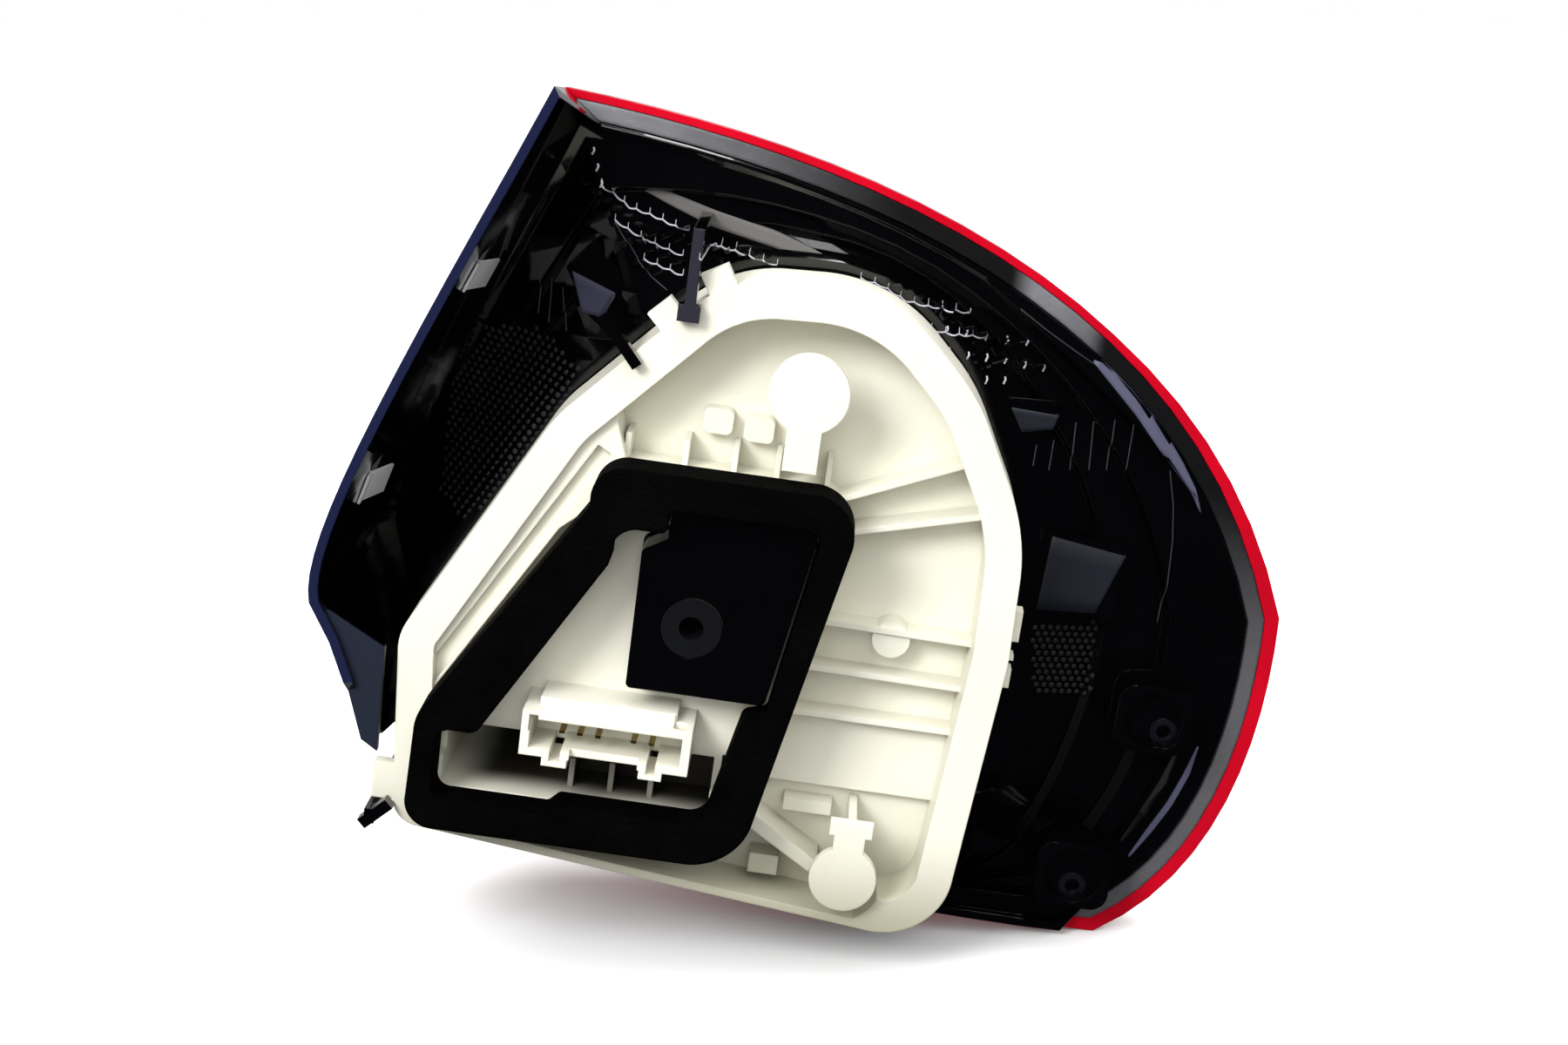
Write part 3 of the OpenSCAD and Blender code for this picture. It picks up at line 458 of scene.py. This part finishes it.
# the scalloped crests above the bulb carrier, pale grey for painted glints, X and Z in millimetres, the
# first ones inboard
SCALLOPED_CRESTS = (
    ((-41.2, 112.5), (-33.0, 107.1), (-26.8, 105.8), (-16.2, 102.5)),
    ((-10.6, 100.7), (-3.4, 99.8), (9.3, 97.0)),
    ((-36.6, 103.0), (-26.1, 98.0), (-17.0, 95.5)),
    ((-27.6, 93.0), (-16.2, 90.3)),
    ((32.6, 96.7), (39.1, 95.4), (45.8, 92.4), (64.3, 90.0)),
    ((46.5, 88.1), (53.2, 85.4), (69.9, 83.9)),
)
# short studs in rows that go on from the crests, pale grey for painted glints like them: their pitch
# in millimetres, their radius in radii of a crest, and the X and Z along one stud from its middle
STUD_PITCH, STUD_RADII = 5.2, 1.2
STUD = ((0, 1.1), (0.3, 0.3), (-0.2, -0.9))
STUD_ROWS = (
    ((58.3, 85.6), (69.9, 83.9), (81.6, 83.8)),
    ((59.7, 79.8), (70.4, 78.5), (87.4, 77.1)),
    ((65.9, 73.2), (76.8, 72.6)),
    ((-44.5, 121.0), (-41.2, 112.5)),
)
# fine lines, dim grey for painted highlights along edges: the points that each is drawn through and its
# radius in radii of a crest
LINE_POINTS, LINE_RADII = 30, 0.8
FINE_LINES = (
    ((-36.5, 102.3), (-29.9, 93.6), (-24.8, 88.3), (-20.0, 85.6)),
    ((78.0, 93.4), (86.0, 88.6), (95.8, 83.2), (102.7, 79.7)),
    ((128.0, 52.5), (130.7, 42.7), (132.3, 32.5), (133.1, 19.3), (132.8, 6.4)),
)
# short upright lines beside each other, dim grey for painted highlights: X and Z of the upper and the lower
# end
UPRIGHT_LINES = (
    ((99.0, 62.9), (99.7, 48.7)), ((104.1, 63.8), (104.9, 49.8)), ((109.7, 65.4), (110.0, 50.1)),
    ((115.4, 64.6), (115.2, 50.1)), ((93.7, 57.0), (93.5, 48.5)), ((88.8, 55.4), (88.6, 49.7)),
    ((-57.3, 85.9), (-57.2, 70.1)), ((-54.0, 81.1), (-53.5, 68.8)), ((-50.4, 79.7), (-47.9, 67.5)),
)
# how far a raised band stands above the housing, in metres
BAND_RISE = 0.0004
# raised bands and pads: name, finish, two edges in millimetres and whether the top is flat; each finish's
# grey is a painted sheen or highlight
RAISED_BANDS = (
    ("ledge_over_crests", "ledge_sheen_grey",
     ((-37.3, 115.7), (-21.5, 112.2), (-9.9, 109.3), (7.9, 105.8), (34.5, 97.2)),
     ((-36.8, 114.9), (-21.2, 108.7), (-9.5, 104.6), (8.7, 101.2), (34.3, 95.4)), True),
    ("upper_crescent", "crescent_highlight_grey",
     ((100.9, 81.6), (107.4, 81.3), (116.2, 73.8), (125.3, 62.7), (131.1, 55.6), (136.0, 48.6),
      (139.1, 41.6)),
     ((100.8, 81.0), (107.4, 74.9), (115.4, 67.5), (122.5, 59.8), (130.4, 51.6), (135.3, 46.8),
      (138.6, 41.5)), False),
    ("lower_crescent", "crescent_highlight_grey",
     ((151.8, -29.8), (150.7, -39.1), (147.4, -49.6), (143.1, -58.9), (137.9, -68.2)),
     ((151.2, -30.1), (148.6, -40.0), (145.6, -49.0), (141.8, -57.0), (137.5, -67.6)), False),
    ("outboard_pad", "pad_sheen_black", ((97.3, 30.3), (119.0, 27.4)), ((96.4, 8.1), (113.2, 9.4)), True),
    ("small_pad", "pad_sheen_black", ((79.6, 65.5), (93.6, 65.0)), ((80.2, 57.8), (92.5, 60.9)), True),
    ("latch_pad", "latch_sheen_grey", ((-47.1, 86.6), (-32.5, 81.4)), ((-43.1, 75.3), (-33.5, 74.6)), True),
)
# greys of the raised bands and pads: painted sheen and highlights where the black housing catches light
RELIEF_FINISHES = {"ledge_sheen_grey": (0.125, 0.12, 0.115), "crescent_highlight_grey": (0.085, 0.085, 0.14),
                   "pad_sheen_black": (0.013, 0.015, 0.022), "latch_sheen_grey": (0.030, 0.029, 0.055)}

# outlines of the fields of domes on the back of the housing, X and Z in millimetres
DOME_FIELDS = {
    "dome_field_inboard": ((-83.6, 9.6), (-82.5, 41.8), (-72.8, 62.8), (-56, 66), (-42, 60), (-44, 46),
                           (-52, 30), (-62, 18), (-74, 8)),
    "dome_field_outboard": ((95.9, 3.9), (116, 4.5), (117, -17.7), (100, -19.5)),
}

# parts of a piece that get a tone or flutes, as ramps: an axis, where the tone is nil
# and where it is full, in metres; on the housing and the carrier the tones are painted highlights and shade
# the side wall's near edge, where a blue highlight is painted
SIDE_WALL_RIM = (("X", -0.02, -0.03), ("Y", 0.0016, 0.0010))
# the web at the foot of the side wall, where a grey sheen is painted
SIDE_WALL_WEB = (("X", -0.079, -0.082), ("Z", -0.007, -0.010), ("Y", 0.0036, 0.0032),
                 ("Y", 0.0020, 0.0026))
# the arm over the carrier's top, where a grey highlight is painted
TOP_ARM = (("X", -0.0156, -0.0142), ("X", -0.0076, -0.0090), ("Z", 0.078, 0.083), ("Y", 0.0052, 0.0042))
LENS_FRONT = (("Y", 0.092, 0.102),)
# where the bead is grey; elsewhere it is near black, and darker grey low outboard
BEAD_INBOARD_TOP = (("X", 0.045, -0.040), ("Z", 0.06, 0.10))
BEAD_PATCH = (("X", 0.074, 0.082), ("X", 0.104, 0.097), ("Z", 0.06, 0.10))
BEAD_LOW_OUTBOARD = (("Z", 0.050, -0.012), ("X", 0.10, 0.13))
# the carrier's lower edge, where shade is painted
CARRIER_LOW_EDGE = (("Z", -0.050, -0.092),)
# the carrier's pocket, where shade is painted, darker with depth
CARRIER_POCKET = (("X", -0.066, -0.052), ("X", 0.018, 0.012), ("Z", -0.066, -0.061), ("Z", -0.037, -0.043),
                  ("Y", 0.008, 0.024))
# painted shade in the hollows of the carrier: the metres within which a wall shades them, the share of
# open sky from which no shade is painted, and the strength of the painted shade
HOLLOW_REACH, HOLLOW_OPEN, HOLLOW_TINT = 0.016, 0.55, 0.22
# the painted shade of the pocket, as a share of the brown of the painted shade in the hollows
POCKET_SHARE = 0.3
# the bead where it is near black and where it is low outboard, as shares of its grey
NEAR_BLACK_SHARE, LOW_SHARE = 0.03, 0.45
# flutes of the lens: the scale of their wave texture and their depth in metres
FLUTE_SCALE, FLUTE_DEPTH = 70, 0.0006


# Operators

class LAMP_OT_housing(Operator):
    """Gloss black finish of the moulded housing, with painted highlights and sheen on its rim, web and arm.
    """

    bl_idname = "lamp.housing"
    bl_label = "Housing"

    def execute(self, context):
        values = context.scene.lamp_finish
        black, shader = moulded("gloss_black", values.housing_black, rough=0.10, grain=420, depth=0.00002,
                                edge=values.mould_edge, coat=0.3, mottle=0.6)
        nodes, links = black.node_tree.nodes, black.node_tree.links
        # paints a blue highlight on the side wall's rim, a grey sheen on its web and a grey highlight on
        # the top arm
        for part, tone in ((SIDE_WALL_RIM, values.rim_highlight_blue), (SIDE_WALL_WEB, values.web_sheen_grey),
                           (TOP_ARM, values.arm_highlight_grey)):
            tint(nodes, links, shader, region(nodes, links, *part), tone)
        dress("housing", black)
        return {"FINISHED"}


class LAMP_OT_lens(Operator):
    """Red lens, its two middle windows and the bead that bonds it."""

    bl_idname = "lamp.lens"
    bl_label = "Lens and bead"

    def execute(self, context):
        values = context.scene.lamp_finish
        red, shader = moulded("signal_red", values.lens_red, rough=0.07, grain=300, depth=0.00002,
                              edge=0.0005, coat=0.6, mottle=0.8)
        shader.inputs["Transmission Weight"].default_value = 0.12
        self.flute(red, shader)
        dress("outer_lens", red)
        for node, name, colour in (("indicator_window", "amber_clear", (0.85, 0.32, 0.03)),
                                   ("reversing_window", "water_clear", (0.85, 0.88, 0.9))):
            clear, shader = moulded(name, colour, rough=0.06, grain=300, depth=0.00002, coat=0.4)
            shader.inputs["Transmission Weight"].default_value = 0.6
            self.flute(clear, shader)
            dress(node, clear)
        dress("lens_bond_bead", self.bead(values.bead_grey))
        return {"FINISHED"}

    def flute(self, finish, shader):
        """Level flutes that show through the front of the lens, none on its rim."""
        nodes, links = finish.node_tree.nodes, finish.node_tree.links
        place = nodes.new("ShaderNodeTexCoord")
        wave = nodes.new("ShaderNodeTexWave")
        wave.bands_direction = "Z"
        wave.inputs["Scale"].default_value = FLUTE_SCALE
        links.new(place.outputs["Object"], wave.inputs["Vector"])
        height = joined(nodes, links, "MULTIPLY", wave.outputs["Fac"], region(nodes, links, *LENS_FRONT))
        bump = nodes.new("ShaderNodeBump")
        bump.inputs["Distance"].default_value = FLUTE_DEPTH
        links.new(height, bump.inputs["Height"])
        links.new(shader.inputs["Normal"].links[0].from_socket, bump.inputs["Normal"])
        links.new(bump.outputs["Normal"], shader.inputs["Normal"])

    def bead(self, grey):
        """Bonding compound: grey at the inboard top and in a patch further outboard, darker grey low
        outboard, near black elsewhere.
        """
        finish, nodes, links, shader = new_finish("bonding_grey")
        grey_part = joined(nodes, links, "MAXIMUM", region(nodes, links, *BEAD_INBOARD_TOP),
                       region(nodes, links, *BEAD_PATCH))
        share = joined(nodes, links, "MULTIPLY", grey_part,
                       spread(nodes, links, object_noise(nodes, links, scale=45, detail=4), 0.65, 1))
        near_black = darker(grey, NEAR_BLACK_SHARE)
        links.new(two_tone(nodes, links, share, near_black, grey), shader.inputs["Base Color"])
        tint(nodes, links, shader, region(nodes, links, *BEAD_LOW_OUTBOARD), darker(grey, LOW_SHARE))
        uneven = object_noise(nodes, links, scale=60)
        links.new(spread(nodes, links, uneven, 0.2, 0.4), shader.inputs["Roughness"])
        lumps = object_noise(nodes, links, scale=240)
        surface_relief(nodes, links, shader, lumps, depth=0.0003, edge=0.0012)
        return finish


class LAMP_OT_carrier(Operator):
    """Ivory bulb carrier with its paddles, ribs and connector, with shade painted along its lower edge, in
    its hollows and in its pocket.
    """

    bl_idname = "lamp.carrier"
    bl_label = "Bulb carrier"

    def execute(self, context):
        values = context.scene.lamp_finish
        ivory, shader = moulded("ivory_moulding", values.carrier_ivory, rough=0.38, grain=700,
                                depth=0.00004, edge=values.mould_edge, specular=0.4, mottle=0.93)
        shader.inputs["Subsurface Weight"].default_value = 0.12
        shader.inputs["Subsurface Radius"].default_value = (0.004, 0.003, 0.0015)
        nodes, links = ivory.node_tree.nodes, ivory.node_tree.links
        # paints shade along the lower edge, in the hollows and, darker with depth, in the pocket
        tint(nodes, links, shader, region(nodes, links, *CARRIER_LOW_EDGE), values.low_painted_shade)
        tint(nodes, links, shader, hollows(nodes, links, HOLLOW_REACH, HOLLOW_OPEN, HOLLOW_TINT),
             values.hollow_shade_brown)
        pocket_shade_brown = darker(values.hollow_shade_brown, POCKET_SHARE)
        tint(nodes, links, shader, region(nodes, links, *CARRIER_POCKET), pocket_shade_brown)
        dress("bulb_carrier", ivory)
        return {"FINISHED"}


class LAMP_OT_seals(Operator):
    """Foam gasket against the car body and the rubber seal of the carrier."""

    bl_idname = "lamp.seals"
    bl_label = "Gasket and seal"

    def execute(self, context):
        dress("foam_gasket", cellular("foam_rubber", context.scene.lamp_finish.foam_black))
        rubber, _ = moulded("seal_rubber", (0.012, 0.012, 0.012), rough=0.6, grain=500, depth=0.00005,
                            edge=0.0006)
        dress("carrier_seal", rubber)
        return {"FINISHED"}


class LAMP_OT_fixings(Operator):
    """Threaded insert, lower inserts and edge clips."""

    bl_idname = "lamp.fixings"
    bl_label = "Fixings"

    def execute(self, context):
        blackened, shader = moulded("dark_steel", (0.009, 0.0095, 0.011), rough=0.25, grain=700,
                                    depth=0.00003, edge=0.0002, coat=0.15)
        shader.inputs["Metallic"].default_value = 0.3
        dress("threaded_insert", blackened)
        dress("cup_inserts", metal("turned_steel", (0.55, 0.55, 0.54), rough=0.28))
        spring, _ = moulded("bright_spring", (0.90, 0.92, 0.96), rough=0.25, grain=500, depth=0.00002,
                            edge=0.0001, coat=0.3, mottle=0.85)
        dress("edge_clips", spring)
        return {"FINISHED"}


class LAMP_OT_electrics(Operator):
    """Bulbs, contact tracks, reflector and reflex plate inside the lamp."""

    bl_idname = "lamp.electrics"
    bl_label = "Bulbs, tracks and reflector"

    def execute(self, context):
        for name, colour, bulbs in (("clear_glass", (0.9, 0.92, 0.94), ("stop", "tail", "reversing")),
                                    ("amber_glass", (0.9, 0.4, 0.05), ("indicator",))):
            glass, shader = moulded(name, colour, rough=0.04, grain=200, depth=0.00001)
            shader.inputs["Transmission Weight"].default_value = 0.7
            for bulb in bulbs:
                dress(bulb + "_bulb", glass)
        brass = metal("stamped_brass", (0.72, 0.52, 0.22), rough=0.3)
        for name in ("ground", "stop", "indicator", "tail", "reversing"):
            dress(name + "_track", brass)
        dress("reflector", metal("bright_metal", (0.86, 0.87, 0.88), rough=0.12))
        reflex, _ = moulded("prism_red", (0.5, 0.004, 0.012), rough=0.12, grain=260, depth=0.0001)
        dress("reflex_reflector", reflex)
        return {"FINISHED"}


class LAMP_OT_dome_texture(Operator):
    """Fields of small domes on the back of the housing, greyer than it: a painted sheen."""

    bl_idname = "lamp.dome_texture"
    bl_label = "Dome texture"

    def execute(self, context):
        values = context.scene.lamp_optics
        surface = back_surface()
        # the domes' grey is a painted sheen
        wear_and_sheen, _ = moulded("dome_sheen_finish", values.dome_sheen_grey, rough=0.30, grain=420, depth=0.00002, coat=0.2)
        for name, field in DOME_FIELDS.items():
            made = bmesh.new()
            for x, z in grid_in([(x * MM, z * MM) for x, z in field], values.dome_pitch):
                place, normal = seen_at(surface, x, z)
                if place is None:
                    continue
                if normal.y > 0:
                    normal = -normal
                add_dome(made, place, normal, values.dome_radius, values.dome_rise)
            add_piece(name, made, wear_and_sheen)
        return {"FINISHED"}


class LAMP_OT_relief(Operator):
    """Scalloped crests, fine lines and raised pads on the back of the housing, in greys that paint their
    glints, highlights and sheen.
    """

    bl_idname = "lamp.relief"
    bl_label = "Housing relief"

    def execute(self, context):
        values = context.scene.lamp_optics
        surface = back_surface()
        # pale grey crests and studs: painted glints on the black housing
        bright, _ = moulded("crest_glint_grey", (0.50, 0.50, 0.55), rough=0.2, grain=420, depth=0.00002,
                            coat=0.4)
        made = bmesh.new()
        for line in SCALLOPED_CRESTS:
            self.scallops(made, surface, line, values.scallop_pitch, values.crest_radius)
        for row in STUD_ROWS:
            for x, z in spaced(row, max(2, round(math.dist(row[0], row[-1]) / STUD_PITCH) + 1)):
                stud = [(x + across, z + up) for across, up in STUD]
                add_crest(made, lying(surface, stud), values.crest_radius * STUD_RADII)
        add_piece("scalloped_crests", made, bright)

        # dim grey lines: painted highlights along edges of the housing
        dull, _ = moulded("line_highlight_grey", (0.035, 0.035, 0.042), rough=0.25, grain=420, depth=0.00002,
                          coat=0.4)
        made = bmesh.new()
        for line in FINE_LINES + UPRIGHT_LINES:
            add_crest(made, lying(surface, spaced(line, LINE_POINTS)), values.crest_radius * LINE_RADII)
        add_piece("fine_lines", made, dull)

        # the bands' and pads' greys: painted sheen and highlights
        finishes = {name: moulded(name, colour, rough=0.42, grain=500, depth=0.00003, edge=0.0003)[0]
                    for name, colour in RELIEF_FINISHES.items()}
        for name, finish, first, second, level in RAISED_BANDS:
            made = bmesh.new()
            add_band(made, surface, first, second, BAND_RISE, level)
            add_piece(name, made, finishes[finish])
        return {"FINISHED"}

    def scallops(self, made, surface, line, pitch, radius):
        """A crest that hangs in shallow arcs, with a short upright tick at each cusp."""
        length = sum(math.dist(a, b) for a, b in zip(line, line[1:]))
        arcs = max(1, round(length * MM / pitch))
        points = []
        for k, (x, z) in enumerate(spaced(line, arcs * ARC_STEPS + 1)):
            points.append((x, z - ARC_SAG * math.sin(math.pi * (k % ARC_STEPS) / ARC_STEPS)))
            if k % ARC_STEPS == 0:
                tick = [(x, z + TICK_STEP * step) for step in range(TICK_STEPS + 1)]
                add_crest(made, lying(surface, tick), radius * TICK_RADII)
        add_crest(made, lying(surface, points), radius)


# Studio

# the camera's place in millimetres
CAMERA_PLACE = (21.07, -587.08, 201.94)
# the lamp leans on the floor by its carrier and the low corner of its lens
FLOOR_UP = Vector((-0.134, -0.003, 0.991)).normalized()
FLOOR_CENTRE = (0.03, 0.03, 0)
FLOOR_GAP = 0.0003
# name, place, what it faces, width and height in metres, watts, the rays it shows in and its colour
LIGHTS = (
    ("key_light", (-0.55, -0.85, 0.62), (0.02, 0.02, 0.0), (0.40, 0.40), 12.5, "diffuse", (1, 1, 1)),
    ("back_light", (-0.25, 0.75, 0.85), (0.02, 0.02, -0.05), (0.35, 0.35), 6.0, "diffuse", (1, 1, 1)),
    ("fill_light", (-0.10, -1.3, 0.35), (0.02, 0.02, 0.0), (0.8, 0.8), 5.2, "diffuse", (1, 1, 1)),
    ("over_streak", (-0.05, -0.30, 0.75), (0.0, 0.03, 0.05), (0.30, 0.22), 0.9, "gloss", (1, 1, 1)),
    ("rear_streak", (0.05, 0.05, 0.80), (0.0, 0.03, 0.05), (0.30, 0.10), 1.4, "gloss", (1, 1, 1)),
    ("side_streak", (-0.75, -0.45, 0.35), (-0.06, 0.03, 0.05), (0.04, 0.45), 0.4, "gloss",
     (0.75, 0.82, 1.0)),
)
# light of the sky at the horizon and overhead, and the Z of a direction where each begins
HORIZON, OVERHEAD = (0.2, 0.2, 0.2), (2.4, 2.4, 2.4)
HORIZON_Z, OVERHEAD_Z = 0.2, 0.8
# what gloss mirrors: a dark room on the side of the lamp's back, a pale one on the side of its lens,
# and the Y of a direction where each begins
DARK_ROOM, PALE_ROOM = (0.012, 0.012, 0.018), (0.55, 0.55, 0.57)
DARK_Y, PALE_Y = 0.05, 0.5


class LAMP_OT_studio(Operator):
    """Floor, soft lights and the camera."""

    bl_idname = "lamp.studio"
    bl_label = "Studio"

    def execute(self, context):
        values = context.scene.lamp_studio
        context.scene.view_settings.view_transform = "Standard"
        self.camera(context.scene, values)
        self.floor(context.scene, values)
        self.sky(context.scene, values.sky)
        for light in LIGHTS:
            self.softbox(context.scene, *light)
        return {"FINISHED"}

    def camera(self, scene, values):
        """The photograph's view: towards +Y, down, and rolled."""
        data = bpy.data.cameras.new("camera")
        data.lens = values.focal
        data.clip_start, data.clip_end = 0.01, 20
        camera = bpy.data.objects.new("camera", data)
        forward = Vector((0, math.cos(values.look_down), -math.sin(values.look_down)))
        level_up = Vector((0, math.sin(values.look_down), math.cos(values.look_down)))
        right = math.cos(values.roll) * Vector((1, 0, 0)) + math.sin(values.roll) * level_up
        up = right.cross(forward)
        turned = Matrix((right, up, -forward)).transposed().to_4x4()
        camera.matrix_world = Matrix.Translation(Vector(CAMERA_PLACE) * MM) @ turned
        scene.collection.objects.link(camera)
        scene.camera = camera

    def floor(self, scene, values):
        """A pale floor just below the lamp; it neither lights the lamp nor shows in its gloss."""
        lowest = min(FLOOR_UP.dot(v.co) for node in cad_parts.values() for v in node.data.vertices)
        side = FLOOR_UP.orthogonal().normalized()
        other = FLOOR_UP.cross(side)
        centre = Vector(FLOOR_CENTRE)
        centre += FLOOR_UP * (lowest - FLOOR_GAP - FLOOR_UP.dot(centre))
        made = bmesh.new()
        made.faces.new([made.verts.new(centre + (side * a + other * b) * values.floor_reach)
                        for a, b in ((-1, -1), (1, -1), (1, 1), (-1, 1))])
        bmesh.ops.recalc_face_normals(made, faces=made.faces)
        mesh = bpy.data.meshes.new("floor")
        made.to_mesh(mesh)
        made.free()
        white, nodes, links, shader = new_finish("floor_white")
        cloud = spread(nodes, links, object_noise(nodes, links, scale=3), 0, 1)
        links.new(two_tone(nodes, links, cloud, darker(values.floor_white, 0.985), values.floor_white),
                  shader.inputs["Base Color"])
        shader.inputs["Roughness"].default_value = 0.7
        shader.inputs["Specular IOR Level"].default_value = 0.1
        mesh.materials.append(white)
        floor = bpy.data.objects.new("floor", mesh)
        scene.collection.objects.link(floor)
        floor.visible_glossy = False
        floor.visible_diffuse = False

    def sky(self, scene, strength):
        """White to the camera, brightest overhead for the surfaces, and a half dark room in gloss."""
        world = bpy.data.worlds.new("studio")
        scene.world = world
        world.use_nodes = True
        nodes, links = world.node_tree.nodes, world.node_tree.links
        place = nodes.new("ShaderNodeTexCoord")
        apart = nodes.new("ShaderNodeSeparateXYZ")
        links.new(place.outputs["Generated"], apart.inputs["Vector"])

        def choose(by, first, second):
            """The first at 0 and the second at 1, each a colour or the output of a node."""
            pick = nodes.new("ShaderNodeMix")
            pick.data_type = "RGBA"
            links.new(by, pick.inputs["Factor"])
            for name, given in (("A", first), ("B", second)):
                if isinstance(given, tuple):
                    pick.inputs[name].default_value = (*given, 1)
                else:
                    links.new(given, pick.inputs[name])
            return pick.outputs["Result"]

        ray = nodes.new("ShaderNodeLightPath")
        lit = choose(ramp(nodes, links, apart.outputs["Z"], HORIZON_Z, OVERHEAD_Z), HORIZON, OVERHEAD)
        mirrored = choose(ramp(nodes, links, apart.outputs["Y"], DARK_Y, PALE_Y), DARK_ROOM, PALE_ROOM)
        given = choose(ray.outputs["Is Glossy Ray"], lit, mirrored)
        seen = choose(ray.outputs["Is Camera Ray"], given, (1.0, 1.0, 1.0))
        links.new(seen, nodes["Background"].inputs["Color"])
        nodes["Background"].inputs["Strength"].default_value = strength
        world.cycles.sampling_method = "NONE"

    def softbox(self, scene, name, place, target, size, watts, shows_in, colour):
        """A lit rectangle that either lights the surfaces or shows in their gloss."""
        light = bpy.data.lights.new(name, "AREA")
        light.shape = "RECTANGLE"
        light.size, light.size_y = size
        light.energy = watts
        light.color = colour
        box = bpy.data.objects.new(name, light)
        box.location = place
        box.rotation_mode = "QUATERNION"
        box.rotation_quaternion = (Vector(target) - Vector(place)).to_track_quat("-Z", "Y")
        box.visible_glossy = shows_in == "gloss"
        box.visible_diffuse = shows_in == "diffuse"
        box.visible_camera = False
        scene.collection.objects.link(box)


PIECE_OPERATORS = (LAMP_OT_housing, LAMP_OT_lens, LAMP_OT_carrier, LAMP_OT_seals, LAMP_OT_fixings,
                   LAMP_OT_electrics, LAMP_OT_dome_texture, LAMP_OT_relief, LAMP_OT_studio)


class LAMP_PT_builder(Panel):
    """Lists the steps that dress the lamp."""

    bl_idname = "LAMP_PT_builder"
    bl_label = "Rear lamp"
    bl_space_type = "VIEW_3D"
    bl_region_type = "UI"
    bl_category = "Rear lamp"

    def draw(self, context):
        for operator in PIECE_OPERATORS:
            self.layout.operator(operator.bl_idname)


SETTINGS = {"lamp_finish": LampFinishSettings, "lamp_optics": LampOpticSettings,
            "lamp_studio": LampStudioSettings}


def register():
    for group in SETTINGS.values():
        bpy.utils.register_class(group)
    for name, group in SETTINGS.items():
        setattr(bpy.types.Scene, name, PointerProperty(type=group))
    for operator in PIECE_OPERATORS:
        bpy.utils.register_class(operator)
    bpy.utils.register_class(LAMP_PT_builder)


def unregister():
    bpy.utils.unregister_class(LAMP_PT_builder)
    for operator in reversed(PIECE_OPERATORS):
        bpy.utils.unregister_class(operator)
    for name in SETTINGS:
        delattr(bpy.types.Scene, name)
    for group in reversed(list(SETTINGS.values())):
        bpy.utils.unregister_class(group)


def main():
    register()
    for operator in PIECE_OPERATORS:
        group, name = operator.bl_idname.split(".")
        getattr(getattr(bpy.ops, group), name)()


if __name__ == "__main__":
    main()
